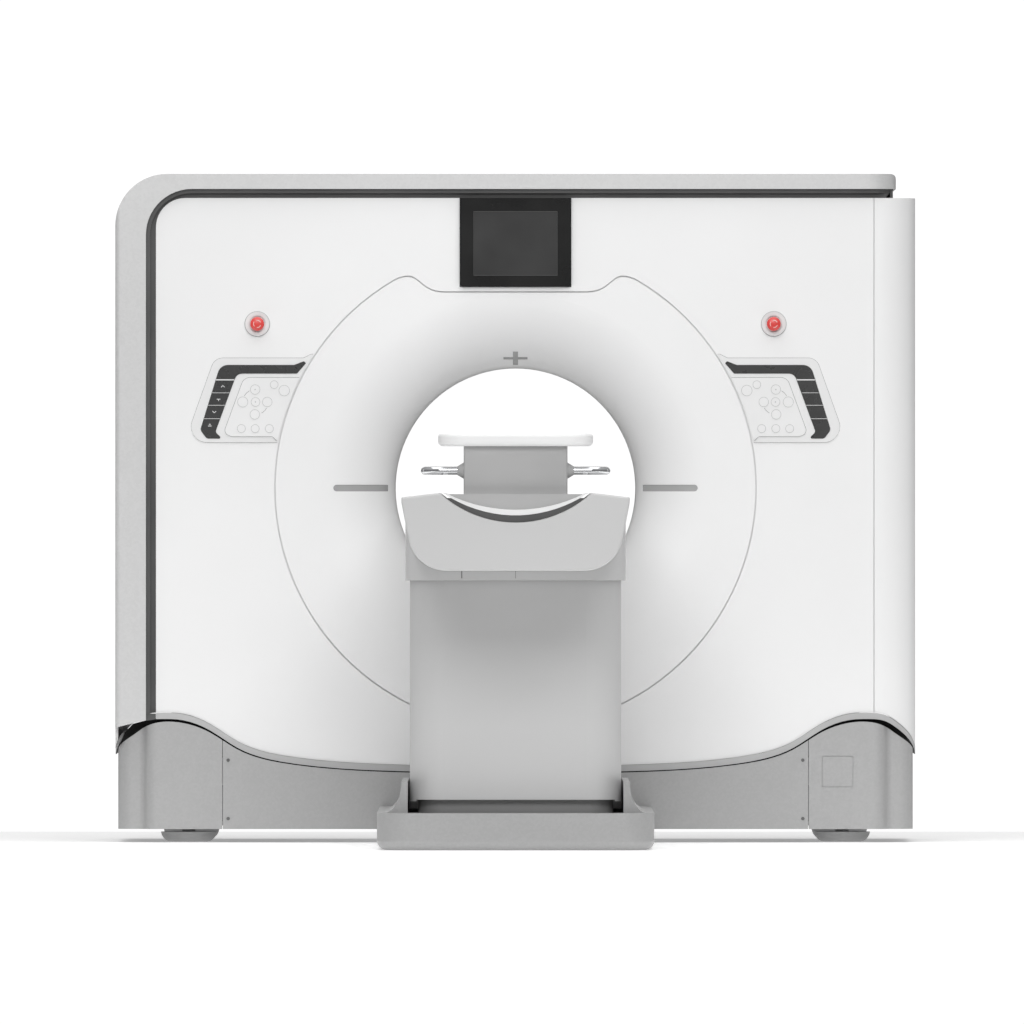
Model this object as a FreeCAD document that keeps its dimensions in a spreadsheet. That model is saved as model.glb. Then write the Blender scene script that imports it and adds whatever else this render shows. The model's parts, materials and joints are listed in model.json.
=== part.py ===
"""Computed tomography scanner: gantry, rotor and patient table, as a parametric FreeCAD document.

Frame: millimetres, +Z up, +Y from the foot end of the table towards the gantry, +X to the right of
someone who stands at the foot end.  The origin is on the floor, at the middle of the overall box.
"""
import FreeCAD, Part
import math
import os
import re

from FreeCAD import Placement, Rotation, Vector

DIMENSIONS = (
    # overall
    ("half_length", 1650, "foot end of the table, and rear of the gantry, from the origin"),
    ("gantry_width", 2315, "outside of the side covers"),
    ("gantry_top", 1932.5, "top of the hood"),
    ("gantry_depth", 950, "front panel to the back of the rear cover"),
    ("ground_gap", 37.6, "underside of the skirts above the floor"),
    ("isocentre", 1024, "height of the bore's axis"),
    ("bore_radius", 350, "inside of the bore liner"),
    ("funnel_radius", 696, "middle of the seam round the funnel"),
    ("flare_radius", 560, "where the flat flange turns in to the bore"),
    ("flare_depth", 190, "depth of the front flare"),
    ("rear_flare", 60, "depth and width of the rear flare"),
    ("cover_wall", 8, "wall of the moulded covers"),
    ("seam", 4, "visible gap between neighbouring covers"),
    ("screw_out", 831, "skirt screws from the middle"),
    ("screw_high", 237, "upper skirt screws above the floor"),
    ("screw_low", 68, "lower skirt screws above the floor"),
    ("screw_head", 5, "radius of a skirt screw's head"),
    ("foot_inset", 130, "levelling feet in from the front and rear"),
    ("beam_low", 60, "underside of the base frame"),
    ("beam_high", 160, "top of the base frame"),
    ("beam_inner", 880, "inside of the side beams from the middle"),
    ("beam_outer", 1010, "outside of the side beams from the middle"),
    ("upright_inner", 930, "inside of the uprights from the middle"),
    ("upright_outer", 1000, "outside of the uprights from the middle"),
    ("upright_depth", 120, "depth of the uprights"),
    ("upright_top", 1500, "top of the uprights"),
    ("anchor_inset", 250, "anchor holes in from the front and rear"),
    ("strut_radius", 14, "radius of the cover struts"),
    ("rotor_gap", 24, "rotor disc behind the scan window"),
    ("stator_gap", 28, "stator plate behind the rotor disc"),
    ("stator_rise", 816, "top of the stator plate above the axis"),
    ("race_lap", 26, "bearing rings behind the stator plate's front face"),
    ("unit_depth", 130, "depth of the generator and the heat exchanger"),
    ("unit_inner", 480, "generator and heat exchanger from the axis"),
    ("unit_outer", 690, "their outer faces from the axis"),
    ("unit_half", 160, "their half height"),
    ("motor_radius", 80, "radius of the drive motor"),
    ("motor_length", 190, "length of the drive motor"),
    ("fit", 0.4, "clearance between parts that slip into each other"),
    # hood and front panel
    ("hood_lip", 25, "hood in front of the panel"),
    ("hood_side", 88.5, "width of the hood's band at the side"),
    ("hood_over", 43.5, "height of the hood's band at the top"),
    ("hood_corner", 150, "outer corner of the hood"),
    ("hood_end", 1101, "right end of the hood's top"),
    ("shadow_side", 29, "width of the dark recess at the side"),
    ("shadow_over", 26, "height of the dark recess at the top"),
    ("panel_corner", 85, "top left corner of the front panel"),
    ("side_seam", 1037, "seam between the front panel and the side cover"),
    ("side_corner", 110, "plan radius of the side cover"),
    # funnel notch under the display
    ("notch_floor", 1591, "height of the notch's flat edge"),
    ("notch_half", 204, "half width of the notch's flat edge"),
    ("notch_leave", 353, "where the round edge ends, from the middle"),
    # display
    ("display_half", 161, "half width of the display housing"),
    ("display_base", 1606, "bottom of the display housing"),
    ("display_proud", 10, "display housing in front of the panel"),
    ("screen_half", 120, "half width of the screen"),
    ("screen_base", 1640, "bottom of the screen"),
    ("screen_top", 1823, "top of the screen"),
    # emergency stops
    ("estop_out", 747, "emergency stops from the middle"),
    ("estop_height", 1498.6, "height of the emergency stops"),
    ("estop_cap", 20, "radius of the red cap"),
    ("estop_stem", 8, "radius of the stem"),
    ("estop_ring", 35, "radius of the collar"),
    # base covers
    ("corner_inner", 848, "inner edge of the corner skirts"),
    ("corner_outer", 1150, "outer face of the corner skirts"),
    ("skirt_proud", 10, "skirts in front of the panel"),
    ("trim_band", 19, "height of the trim band"),
    ("foot_out", 946, "levelling feet from the middle"),
    ("anchor_out", 945, "floor anchor holes from the middle"),
    ("anchor_hole", 9, "radius of the floor anchor holes"),
    # rotor and what carries it
    ("scan_offset", 340, "scan plane behind the front panel"),
    ("window_width", 56, "scan window"),
    ("rotor_radius", 770, "rim of the rotor disc"),
    ("rotor_bore", 395, "bore of the rotor disc"),
    ("disc_wall", 20, "thickness of the rotor disc"),
    ("bearing_inner", 400, "bore of the bearing"),
    ("bearing_race", 458, "outside of the bearing's inner ring"),
    ("bearing_outer", 525, "outside of the bearing's outer ring"),
    ("stator_wall", 25, "thickness of the stator plate"),
    ("stator_half", 1000, "half width of the stator plate"),
    ("belt_wall", 6, "thickness of the drive belt"),
    ("belt_width", 16, "width of the drive belt"),
    ("pulley_radius", 70, "motor pulley"),
    ("motor_out", 840, "drive motor from the middle"),
    ("motor_height", 330, "height of the drive motor's axis"),
    ("shaft_radius", 15, "motor shaft"),
    # table
    ("plinth_half", 392, "half width of the plinth"),
    ("plinth_height", 104, "top of the plinth"),
    ("plinth_front", 120, "plinth in front of the pedestal"),
    ("flare_top", 191, "top of the plinth's side flares"),
    ("pedestal_front", 500, "pedestal behind the foot end"),
    ("pedestal_length", 1300, "length of the pedestal"),
    ("pedestal_half", 299, "half width of the moving shroud"),
    ("carriage_gap", 69, "lift carriage in from the moving shroud's half width"),
    ("carriage_leg", 35, "width of the carriage's legs"),
    ("pedestal_corner", 100, "plan radius of the moving shroud"),
    ("shroud_base", 136, "bottom of the moving shroud"),
    ("shroud_top", 776, "top of the moving shroud"),
    ("collar_base", 761, "bottom of the collar under the table top"),
    ("collar_gap", 9, "collar round the moving shroud"),
    ("table_wall", 4, "sheet wall of the pedestal covers"),
    ("bowl_half", 321, "half width of the table top"),
    ("bowl_rim", 996, "outer rim of the table top"),
    ("bowl_base", 789, "underside of the table top"),
    ("bowl_wall", 6, "wall of the table top"),
    ("dish_half", 213.5, "half width of the channel for the cradle"),
    ("dish_tip", 1008.5, "edge of that channel"),
    ("dish_low", 925, "lowest line of that channel"),
    ("rail_wall", 20, "thickness of the cradle rail"),
    ("cradle_wall", 15, "thickness of the cradle"),
    ("cradle_gap", 0.5, "cradle above its rail"),
    ("table_length", 2290, "length of the table top"),
    ("cap_length", 90, "length of the end cap"),
    ("deck_base", 912, "underside of the deck inside the table top"),
    ("guide_out", 150, "lift guides from the middle"),
    ("guide_radius", 30, "lift guides"),
    ("screw_radius", 16, "lift screw"),
    ("guide_top", 645, "top of the guides and the screw"),
    # grip unit on the cradle
    ("box_half", 146, "half width of the grip box"),
    ("box_base", 1005, "bottom of the grip box"),
    ("box_top", 1140, "top of the grip box"),
    ("box_length", 200, "length of the grip box"),
    ("plate_half", 218, "half width of the rest plate"),
    ("plate_top", 1175, "top of the rest plate"),
    ("loop_height", 1071, "height of the grip loops"),
    ("loop_reach", 267, "grip loops from the middle"),
    ("loop_tube", 11.5, "radius of the grip loops' tube"),
)
SIZE = {alias: float(number) for alias, number, meaning in DIMENSIONS}

doc = FreeCAD.newDocument("ct_scanner")
sheet = doc.addObject("Spreadsheet::Sheet", "Sizes")
for row, (alias, number, meaning) in enumerate(DIMENSIONS, start=1):
    sheet.set("A%d" % row, meaning)
    sheet.set("B%d" % row, str(number))
    sheet.setAlias("B%d" % row, alias)
doc.recompute()

# Derived planes, as formulas for the expression engine and as numbers for the outlines.
FRONT = "(half_length - gantry_depth)"
REAR = "half_length"
FOOT = "(-half_length)"
front = SIZE["half_length"] - SIZE["gantry_depth"]
rear = SIZE["half_length"]
foot = -SIZE["half_length"]
iso = SIZE["isocentre"]
wall = SIZE["cover_wall"]
fit = SIZE["fit"]
half = SIZE["gantry_width"] / 2
HALF = "(gantry_width / 2)"
NODES = []


# ---------------------------------------------------------------- document helpers

def formula(text):
    """Spell a formula in plain size names the way the expression engine reads it."""
    return re.sub(r"[a-z_]+", lambda word: ("Sizes." if word.group(0) in SIZE else "") + word.group(0),
                  str(text))


def bind(thing, prop, text):
    thing.setExpression(prop, formula(text))


def node(label, thing):
    """Name a finished sub-part and put it on the list of what is written out."""
    thing.Label = label
    NODES.append(thing)
    return thing


def block(name, low, high):
    """A block between two corners, each given as three formulas."""
    box = doc.addObject("Part::Box", name)
    for side, axis, bottom, top in zip(("Length", "Width", "Height"), "xyz", low, high):
        bind(box, side, "(%s) - (%s)" % (top, bottom))
        bind(box, "Placement.Base." + axis, bottom)
    return box


TURN = {"X": Rotation(Vector(0, 1, 0), 90), "Y": Rotation(Vector(1, 0, 0), -90), "Z": Rotation()}


def rod(name, radius, start, length, axis="Y"):
    """A round bar along an axis, from the middle of its first face."""
    bar = doc.addObject("Part::Cylinder", name)
    bar.Placement = Placement(Vector(), TURN[axis])
    bind(bar, "Radius", radius)
    bind(bar, "Height", length)
    for letter, place in zip("xyz", start):
        bind(bar, "Placement.Base." + letter, place)
    return bar


def cone(name, radius, end_radius, start, length, turn):
    """A tapered round boss whose axis is turned by a rotation."""
    boss = doc.addObject("Part::Cone", name)
    boss.Placement = Placement(Vector(), turn)
    bind(boss, "Radius1", radius)
    bind(boss, "Radius2", end_radius)
    bind(boss, "Height", length)
    for letter, place in zip("xyz", start):
        bind(boss, "Placement.Base." + letter, place)
    return boss


def join(name, *things):
    fused = doc.addObject("Part::MultiFuse", name)
    fused.Shapes = list(things)
    return fused


def cut(name, base, *tools):
    away = doc.addObject("Part::Cut", name)
    away.Base = base
    away.Tool = tools[0] if len(tools) == 1 else join(name + "_tools", *tools)
    return away


def common(name, base, tool):
    kept = doc.addObject("Part::Common", name)
    kept.Base = base
    kept.Tool = tool
    return kept


def group(name, *things):
    """Separate solids that share one node."""
    several = doc.addObject("Part::Compound", name)
    several.Links = list(things)
    return several


def tube(name, outer, inner, start, length, axis="Y"):
    return cut(name, rod(name + "_outer", outer, start, length, axis),
               rod(name + "_inner", inner, start, length, axis))


# ---------------------------------------------------------------- outlines

def arc(start, middle, end):
    """An arc through three points, always stored anticlockwise."""
    turn = (middle - start).cross(end - middle).z
    return Part.Arc(start, middle, end) if turn > 0 else Part.Arc(end, middle, start)


def outline(*corners):
    """A closed outline through corners (across, up, radius), with arcs where the radius is not 0."""
    spans = []
    for index, (across, up, radius) in enumerate(corners):
        here = Vector(across, up, 0)
        back = Vector(*corners[index - 1][:2], 0) - here
        ahead = Vector(*corners[(index + 1) % len(corners)][:2], 0) - here
        if radius <= 0:
            spans.append((here, None, here))
            continue
        opening = back.getAngle(ahead)
        reach = radius / math.tan(opening / 2)
        middle_line = (back.normalize() + ahead.normalize()).normalize()
        centre = here + middle_line * (radius / math.sin(opening / 2))
        spans.append((here + back * reach, centre - middle_line * radius, here + ahead * reach))
    edges = []
    for index, (entry, middle, leave) in enumerate(spans):
        if middle is not None:
            edges.append(arc(entry, middle, leave))
        following = spans[(index + 1) % len(spans)][0]
        if (following - leave).Length > 1e-6:
            edges.append(Part.LineSegment(leave, following))
    return edges


def circle(across, up, radius):
    return Part.Circle(Vector(across, up, 0), Vector(0, 0, 1), radius)


def rectangle(left, right, low, high, radius=0):
    return outline((left, low, radius), (right, low, radius), (right, high, radius), (left, high, radius))


def curve(points, first=None, last=None):
    """A smooth curve through points, with given directions at its ends."""
    spline = Part.BSplineCurve()
    places = [Vector(across, up, 0) for across, up in points]
    if first is None:
        spline.interpolate(Points=places)
    else:
        spline.interpolate(Points=places, InitialTangent=Vector(*first, 0), FinalTangent=Vector(*last, 0))
    return spline


def quarter(start, corner, end):
    """A quarter of an ellipse from one point to another, tangent to the lines through the corner."""
    round_share = 0.5523
    first, middle, last = (Vector(*point, 0) for point in (start, corner, end))
    bend = Part.BezierCurve()
    bend.setPoles([first, first + (middle - first) * round_share,
                   last + (middle - last) * round_share, last])
    return bend.toBSpline()


def line(start, end):
    return Part.LineSegment(Vector(*start, 0), Vector(*end, 0))


def path(*points):
    """Straight edges through points, left open."""
    return [line(one, two) for one, two in zip(points, points[1:])]


# ---------------------------------------------------------------- sketched bodies

def body(name):
    return doc.addObject("PartDesign::Body", name)


def sketch(owner, name, edges, plane, start, lift="0"):
    """A sketch on one of the body's own planes, moved along that plane's axis to 'start'."""
    drawing = owner.newObject("Sketcher::SketchObject", name)
    role = plane + "_Plane"
    own_plane = [feature for feature in owner.Origin.OriginFeatures if feature.Role == role][0]
    drawing.AttachmentSupport = [(own_plane, "")]
    drawing.MapMode = "FlatFace"
    bind(drawing, "AttachmentOffset.Base.z", ("-(%s)" if plane == "XZ" else "%s") % start)
    bind(drawing, "AttachmentOffset.Base.y", lift)
    drawing.addGeometry(edges, False)
    return drawing


def pad(owner, name, edges, plane, start, length):
    """Material from 'start' along the plane's positive axis."""
    grown = owner.newObject("PartDesign::Pad", name)
    grown.Profile = sketch(owner, name + "_sketch", edges, plane, start)
    bind(grown, "Length", length)
    grown.Reversed = plane == "XZ"
    return grown


def pocket(owner, name, edges, plane, start, length):
    """A cut from 'start' along the plane's positive axis."""
    sunk = owner.newObject("PartDesign::Pocket", name)
    sunk.Profile = sketch(owner, name + "_sketch", edges, plane, start)
    bind(sunk, "Length", length)
    sunk.Reversed = plane != "XZ"
    return sunk


def padded(name, edges, plane, start, length):
    owner = body(name)
    pad(owner, name + "_pad", edges, plane, start, length)
    return owner


def turned(name, edges):
    """A section (along the gantry, out from the bore's axis) turned about the bore's axis."""
    owner = body(name)
    spin = owner.newObject("PartDesign::Revolution", name + "_turn")
    spin.Profile = sketch(owner, name + "_sketch", edges, "YZ", "0", lift="isocentre")
    spin.ReferenceAxis = (spin.Profile[0], ["H_Axis"])
    spin.Angle = 360
    return owner


def rounded(owner, name, radius, test):
    """Fillet the edges of a body that a test picks."""
    doc.recompute()
    base = owner.Tip
    picked = ["Edge%d" % number for number, edge in enumerate(owner.Shape.Edges, start=1) if test(edge)]
    fillet = owner.newObject("PartDesign::Fillet", name)
    fillet.Base = (base, picked)
    fillet.Radius = radius
    owner.Tip = fillet
    return fillet


def lies_at(edge, axis, level):
    """Whether every end of an edge lies on one plane across an axis."""
    return all(abs(getattr(vertex, axis) - level) < 0.01 for vertex in edge.Vertexes)


# ---------------------------------------------------------------- base line of the covers

def trim_points(drop, gap=0.0):
    """The wave that the covers end on: low in the middle, a crest over each corner skirt."""
    share = half / 1157.5
    wave = ((0, 219, 0.5), (334, 224, 0.5), (649, 247, 0.5), (803, 291, 0.7), (887, 344, 1),
            (981, 374, 1.2),
            (1014, 375, 1.2), (1069, 369, 2.4), (1107, 346, 2.8), (1141, 313, 1.6), (1157.5, 272, 0.5))
    right = [(across * share, up - drop - gap * part) for across, up, part in wave]
    left = [(-across, up) for across, up in reversed(right[1:])]
    return left + right


def trim_region(name, drop, gap=0.0, low=-50.0):
    """Everything below the wave, dropped by an amount, through the whole gantry."""
    points = trim_points(drop, gap)
    top = curve(points)
    left, right = points[0], points[-1]
    past = 50
    far_right, far_left = right[0] + past, left[0] - past
    edges = [top] + path(right, (far_right, right[1]), (far_right, low), (far_left, low),
                         (far_left, left[1]),
                         left)
    return padded(name, edges, "XZ", FRONT + " - 100", "gantry_depth + 200")


# ---------------------------------------------------------------- funnel, bore and window

def funnel_edge(grow):
    """The funnel's rim: a circle that dips under the display, grown by an amount."""
    radius = SIZE["funnel_radius"] + grow
    floor = SIZE["notch_floor"] + grow
    leave = SIZE["notch_leave"]
    flat = SIZE["notch_half"]
    height = iso + math.sqrt(radius ** 2 - leave ** 2)
    crest = (leave * 0.865, height + 12)
    slope = (-(height - iso), -leave)          # along the circle, anticlockwise seen from the front
    right = curve([(leave, height), crest, (flat, floor)], (slope[0], -slope[1]), (-1, 0))
    left = curve([(-flat, floor), (-crest[0], crest[1]), (-leave, height)], (-1, 0), (slope[0], slope[1]))
    ring = arc(Vector(-leave, height, 0), Vector(0, iso - radius, 0), Vector(leave, height, 0))
    return [ring, right, line((flat, floor), (-flat, floor)), left]


def bell(inset):
    """Points of the flare's section, set back from its face by an amount."""
    depth, outer, bore = SIZE["flare_depth"], SIZE["flare_radius"], SIZE["bore_radius"]
    lip = (front + inset, outer)
    throat = (front + depth, bore + inset)
    return lip, (lip[0], throat[1]), throat


def front_funnel():
    bore, gap = SIZE["bore_radius"], SIZE["seam"] / 2
    face, back = bell(0), bell(wall)
    window = front + SIZE["scan_offset"] - SIZE["window_width"] / 2
    overlap = 4.0
    rim = SIZE["flare_radius"] + overlap
    flange = wall + 1
    section = [quarter(*face), line(face[2], (window, bore)), line((window, bore), (window, bore + wall)),
               line((window, bore + wall), back[2]), quarter(back[2], back[1], (front + wall, back[0][1])),
               line((front + wall, back[0][1]), (front + flange, back[0][1])),
               line((front + flange, back[0][1]), (front + flange, rim)),
               line((front + flange, rim), (front, rim)),
               line((front, rim), face[0])]
    owner = turned("front_funnel_shell", section)
    inner = [circle(0, iso, rim - 2)]
    pad(owner, "funnel_flange", funnel_edge(-gap) + inner, "XZ", FRONT, "cover_wall + 1")
    pad(owner, "funnel_lip", funnel_edge(2 * gap + 4) + inner, "XZ", FRONT + " + cover_wall + fit", "5")
    return node("front_funnel", cut("front_funnel_cut", owner, laser_slots("slots", 0.0)))


def laser_slots(name, shrink):
    """The four light slots of the positioning lasers, as one cutting or filling body."""
    inner, outer, tall = 369 + shrink, 527 - shrink, 9.5 - shrink
    slots = []
    for side in (-1, 1):
        ends = sorted((side * inner, side * outer))
        radii = (0, tall - 0.1) if side > 0 else (tall - 0.1, 0)
        shape = outline((ends[0], iso - tall, radii[0]), (ends[1], iso - tall, radii[1]),
                        (ends[1], iso + tall, radii[1]), (ends[0], iso + tall, radii[0]))
        slots.append(padded("%s_side_%s" % (name, "left" if side < 0 else "right"), shape, "XZ",
                            FRONT + " - 5", "flare_depth - 20"))
    up, bar, arm = iso + 376, 7.5 - shrink, 35 - shrink
    thin, tall = 3.5 - shrink, 19 - shrink
    cross = outline((-bar, up - tall, 0), (bar, up - tall, 0), (bar, up - thin, 0), (arm, up - thin, 0),
                    (arm, up + thin, 0), (bar, up + thin, 0), (bar, up + tall, 0), (-bar, up + tall, 0),
                    (-bar, up + thin, 0), (-arm, up + thin, 0), (-arm, up - thin, 0), (-bar, up - thin, 0))
    slots.append(padded(name + "_top", cross, "XZ", FRONT + " - 5", "flare_depth - 20"))
    return join(name, *slots)


def laser_windows():
    face, back = bell(1.5), bell(wall - 1)
    section = [quarter(*face), line(face[2], back[2]), quarter(back[2], back[1], back[0]),
               line(back[0], face[0])]
    owner = turned("laser_band", section)
    return node("laser_windows", common("laser_windows_kept", owner, laser_slots("panes", 0.3)))


def scan_window():
    start = FRONT + " + scan_offset - window_width / 2 + 0.1"
    return node("scan_window", tube("scan_window_tube", "bore_radius + 4", "bore_radius",
                                    ("0", start, "isocentre"), "window_width - 0.2"))


def rear_funnel():
    bore, flare = SIZE["bore_radius"], SIZE["rear_flare"]
    window = front + SIZE["scan_offset"] + SIZE["window_width"] / 2
    rim = bore + flare + 120
    start = rear - flare
    section = [line((window, bore), (start, bore)), quarter((start, bore), (rear, bore),
                                                            (rear, bore + flare)),
               line((rear, bore + flare), (rear, rim)), line((rear, rim), (rear - wall - fit, rim)),
               line((rear - wall - fit, rim), (rear - wall - fit, rim + 10)),
               line((rear - wall - fit, rim + 10), (rear - wall - 6, rim + 10)),
               line((rear - wall - 6, rim + 10), (rear - wall - 6, bore + flare)),
               quarter((rear - wall - 6, bore + flare), (rear - wall - 6, bore + wall),
                       (start, bore + wall)),
               line((start, bore + wall), (window, bore + wall)),
               line((window, bore + wall), (window, bore))]
    return node("rear_funnel", turned("rear_funnel_shell", section))


# ---------------------------------------------------------------- outer covers

def front_cover():
    left = -half + SIZE["hood_side"] + SIZE["shadow_side"]
    right = SIZE["side_seam"] - 1
    top = SIZE["gantry_top"] - SIZE["hood_over"] - SIZE["shadow_over"]
    corner = SIZE["panel_corner"]
    low = 150.0
    gap = SIZE["seam"] / 2
    owner = padded("front_panel", outline((left, low, 0), (right, low, 0), (right, top, 0),
                                          (left, top, corner)),
                   "XZ", FRONT, "cover_wall")
    pad(owner, "front_flange",
        outline((left, low, 0), (left + wall, low, 0), (left + wall, top - wall, corner - wall),
                (right - wall, top - wall, 0), (right - wall, low, 0), (right, low, 0), (right, top, 0),
                (left, top, corner)), "XZ", FRONT + " + cover_wall", "25")
    pocket(owner, "funnel_opening", funnel_edge(gap), "XZ", FRONT + " - 1", "cover_wall + 2")
    wide, base = SIZE["display_half"] + 0.5, SIZE["display_base"] - 0.5
    pocket(owner, "display_opening", rectangle(-wide, wide, base, top + 20), "XZ", FRONT + " - 1", "60")
    stops = [circle(side * SIZE["estop_out"], SIZE["estop_height"], 17) for side in (-1, 1)]
    pocket(owner, "estop_openings", stops, "XZ", FRONT + " - 1", "cover_wall + 2")
    return node("front_cover", cut("front_cover_cut", owner, trim_region("front_cover_base", 0)))


def hood_plan(name, inset):
    """Everything inside the hood's rounded plan, set back by an amount."""
    end, face = SIZE["hood_end"] - inset, front - SIZE["hood_lip"] + inset
    shape = outline((-half, face, 14), (end, face, 76 - inset), (end, rear, 0), (-half, rear, 0))
    return padded(name, shape, "XY", "150", "gantry_top - 100")


def hood():
    top, corner, end = SIZE["gantry_top"], SIZE["hood_corner"], SIZE["hood_end"]
    left = -half
    inner, under = left + SIZE["hood_side"], top - SIZE["hood_over"]
    bottom, slope = 331.0, 22.0
    end_round, end_wall, lap = 15.0, 24.0, 12.0
    band = padded("hood_band", outline((left, bottom, 0), (inner, bottom + slope, 0),
                                       (inner, under, corner - 17), (end, under, 0), (end, top, end_round),
                                       (left, top, corner)),
                  "XZ", FRONT + " - hood_lip", "hood_lip + %s" % lap)
    shell = padded("hood_shell", outline((left, 200, 0), (left + wall, 200, 0),
                                         (left + wall, top - wall, corner - wall),
                                         (end - end_wall, top - wall, 0),
                                         (end - end_wall, under, 0), (end, under, 0), (end, top, end_round),
                                         (left, top, corner)),
                   "XZ", FRONT + " + %s" % lap, "gantry_depth - cover_wall - %s" % lap)
    trimmed = cut("hood_shell_cut", shell, trim_region("hood_base", 0))
    return node("hood", common("hood_rounded", join("hood_whole", band, trimmed),
                               hood_plan("hood_plan", 0)))


def hood_shadow_strip():
    """The dark recessed channel between the hood and the covers, and its return along the right side."""
    top = SIZE["gantry_top"] - SIZE["hood_over"]
    under = top - SIZE["shadow_over"]
    left = -half + SIZE["hood_side"]
    inner, set_back = left + SIZE["shadow_side"], 9.0
    end = SIZE["hood_end"] - set_back
    corner, hood_round = SIZE["panel_corner"], SIZE["hood_corner"] - 17
    bevel, lip = SIZE["shadow_over"] - 4, 12.0
    owner = padded("shadow_front", outline((left, 200, 0), (inner, 200, 0), (inner, under, corner),
                                           (end - bevel, under, 0), (end, top, 0), (left, top, hood_round)),
                   "XZ", FRONT + " - %s" % lip, "30")
    pocket(owner, "shadow_recess", outline((left + lip, 190, 0), (inner + 1, 190, 0),
                                           (inner + 1, under - 1, corner - 1), (end + 20, under - 1, 0),
                                           (end + 20, top - lip, 0),
                                           (left + lip, top - lip, hood_round - lip)),
           "XZ", FRONT + " - %s" % (lip + 1), "17")
    side = block("shadow_side_return", (str(end - wall), FRONT + " + 18", str(under)),
                 (str(end), REAR + " - cover_wall", str(top)))
    trimmed = cut("shadow_cut", owner, trim_region("shadow_base", 0))
    rounded_front = common("shadow_rounded", trimmed, hood_plan("shadow_plan", set_back))
    return node("hood_shadow_strip", join("shadow_whole", rounded_front, side))


def right_side_cover():
    left, top = SIZE["side_seam"] + 1, SIZE["gantry_top"] - SIZE["hood_over"] - SIZE["shadow_over"]
    corner, back = SIZE["side_corner"], rear - wall
    lap, tongue = 10.0, 25.0
    plan = outline((left, front, 0), (half, front, corner), (half, back, 0), (half - wall, back, 0),
                   (half - wall, front + wall, corner - wall), (left + wall, front + wall, 0),
                   (left + wall, front + wall + tongue, 0), (left - 2, front + wall + tongue, 0),
                   (left - 2, front + lap, 0), (left, front + lap, 0))
    owner = padded("side_wall", plan, "XY", "150", "gantry_top - hood_over - shadow_over - 150")
    lid = outline((left, front, 0), (half, front, corner), (half, back, 0), (left, back, 0))
    pad(owner, "side_lid", lid, "XY", "gantry_top - hood_over - shadow_over - cover_wall", "cover_wall")
    return node("right_side_cover", cut("side_cover_cut", owner, trim_region("side_cover_base", 0)))


def rear_cover():
    top, end = SIZE["gantry_top"], SIZE["hood_end"]
    step = top - SIZE["hood_over"] - SIZE["shadow_over"]
    hole = SIZE["bore_radius"] + SIZE["rear_flare"] + 120 + SIZE["seam"] / 2
    shape = outline((-half, 150, 0), (half, 150, 0), (half, step, 0), (end, step, 0), (end, top, 15),
                    (-half, top, SIZE["hood_corner"]))
    owner = padded("rear_panel", shape + [circle(0, iso, hole)], "XZ", REAR + " - cover_wall", "cover_wall")
    return node("rear_cover", cut("rear_cover_cut", owner, trim_region("rear_cover_base", 0)))


# ---------------------------------------------------------------- base covers

def corner_plan(side, inset):
    """Plan of a corner skirt's outer face: flat front, a scooped step back, then the side."""
    inner, outer = SIZE["corner_inner"], SIZE["corner_outer"] - inset
    face = front - SIZE["skirt_proud"] + inset
    return [(side * across, along, radius) for across, along, radius in
            ((inner, face, 0), (outer - 92, face, 34), (outer - 72, face + 34, 20),
             (outer, face + 38, 42), (outer, rear - inset, 0))]


def skirt_corner(name, side):
    outer = corner_plan(side, 0)
    inner = corner_plan(side, wall)
    inner[-1] = (inner[-1][0], rear, 0)
    plan = outline(*(outer + inner[::-1]))
    owner = padded(name + "_wall", plan, "XY", "ground_gap", "400")
    kept = common(name + "_kept", owner, trim_region(name + "_top", SIZE["trim_band"], gap=6.5))
    if side < 0:
        return node(name, kept)
    plate = access_outline(0)
    sunk = padded("access_recess", plate, "XZ", FRONT + " - skirt_proud - 1", "4")
    return node(name, cut(name + "_cut", kept, sunk))


def access_outline(shrink):
    middle, up, reach = SIZE["corner_inner"] + 83.5, 204.0, 45.0 - shrink
    return rectangle(middle - reach, middle + reach, up - reach, up + reach, 3)


def access_plate():
    return node("access_plate", padded("access_plate_sheet", access_outline(1.2), "XZ",
                                       FRONT + " - skirt_proud", "3"))


def skirt_centre():
    wide = SIZE["corner_inner"] - 1.5
    owner = padded("skirt_centre_sheet", rectangle(-wide, wide, SIZE["ground_gap"], 420), "XZ",
                   FRONT + " - skirt_proud", "cover_wall")
    return node("skirt_centre", common("skirt_centre_kept", owner,
                                       trim_region("skirt_centre_top", SIZE["trim_band"], gap=6.5)))


def skirt_rear():
    wide = SIZE["corner_outer"] - wall - fit
    owner = padded("skirt_rear_sheet", rectangle(-wide, wide, SIZE["ground_gap"], 420), "XZ",
                   REAR + " - cover_wall", "cover_wall")
    return node("skirt_rear", common("skirt_rear_kept", owner,
                                     trim_region("skirt_rear_top", SIZE["trim_band"], gap=6.5)))


def base_trim():
    """The pale band that follows the wave under the covers, round the front and both sides."""
    face, depth = front - 6.0, 24.0
    outer = outline((-half, rear, 0), (-half, face, 60), (half, face, SIZE["side_corner"]), (half, rear, 0),
                    (half - depth, rear, 0), (half - depth, face + depth, SIZE["side_corner"] - depth),
                    (-half + depth, face + depth, 36), (-half + depth, rear, 0))
    ring = padded("trim_ring", outer, "XY", "150", "300")
    upper = trim_region("trim_upper", 0.5, gap=0.4)
    lower = trim_region("trim_lower", SIZE["trim_band"])
    band = common("trim_band_all", ring, upper)
    hood_side = block("hood_side_room", ("-gantry_width / 2 - 1", FRONT + " - 50", "100"),
                      ("-gantry_width / 2 + hood_side + shadow_side + 0.5", FRONT + " + 60", "450"))
    return node("base_trim", cut("base_trim_cut", band, lower, hood_side))


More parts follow.
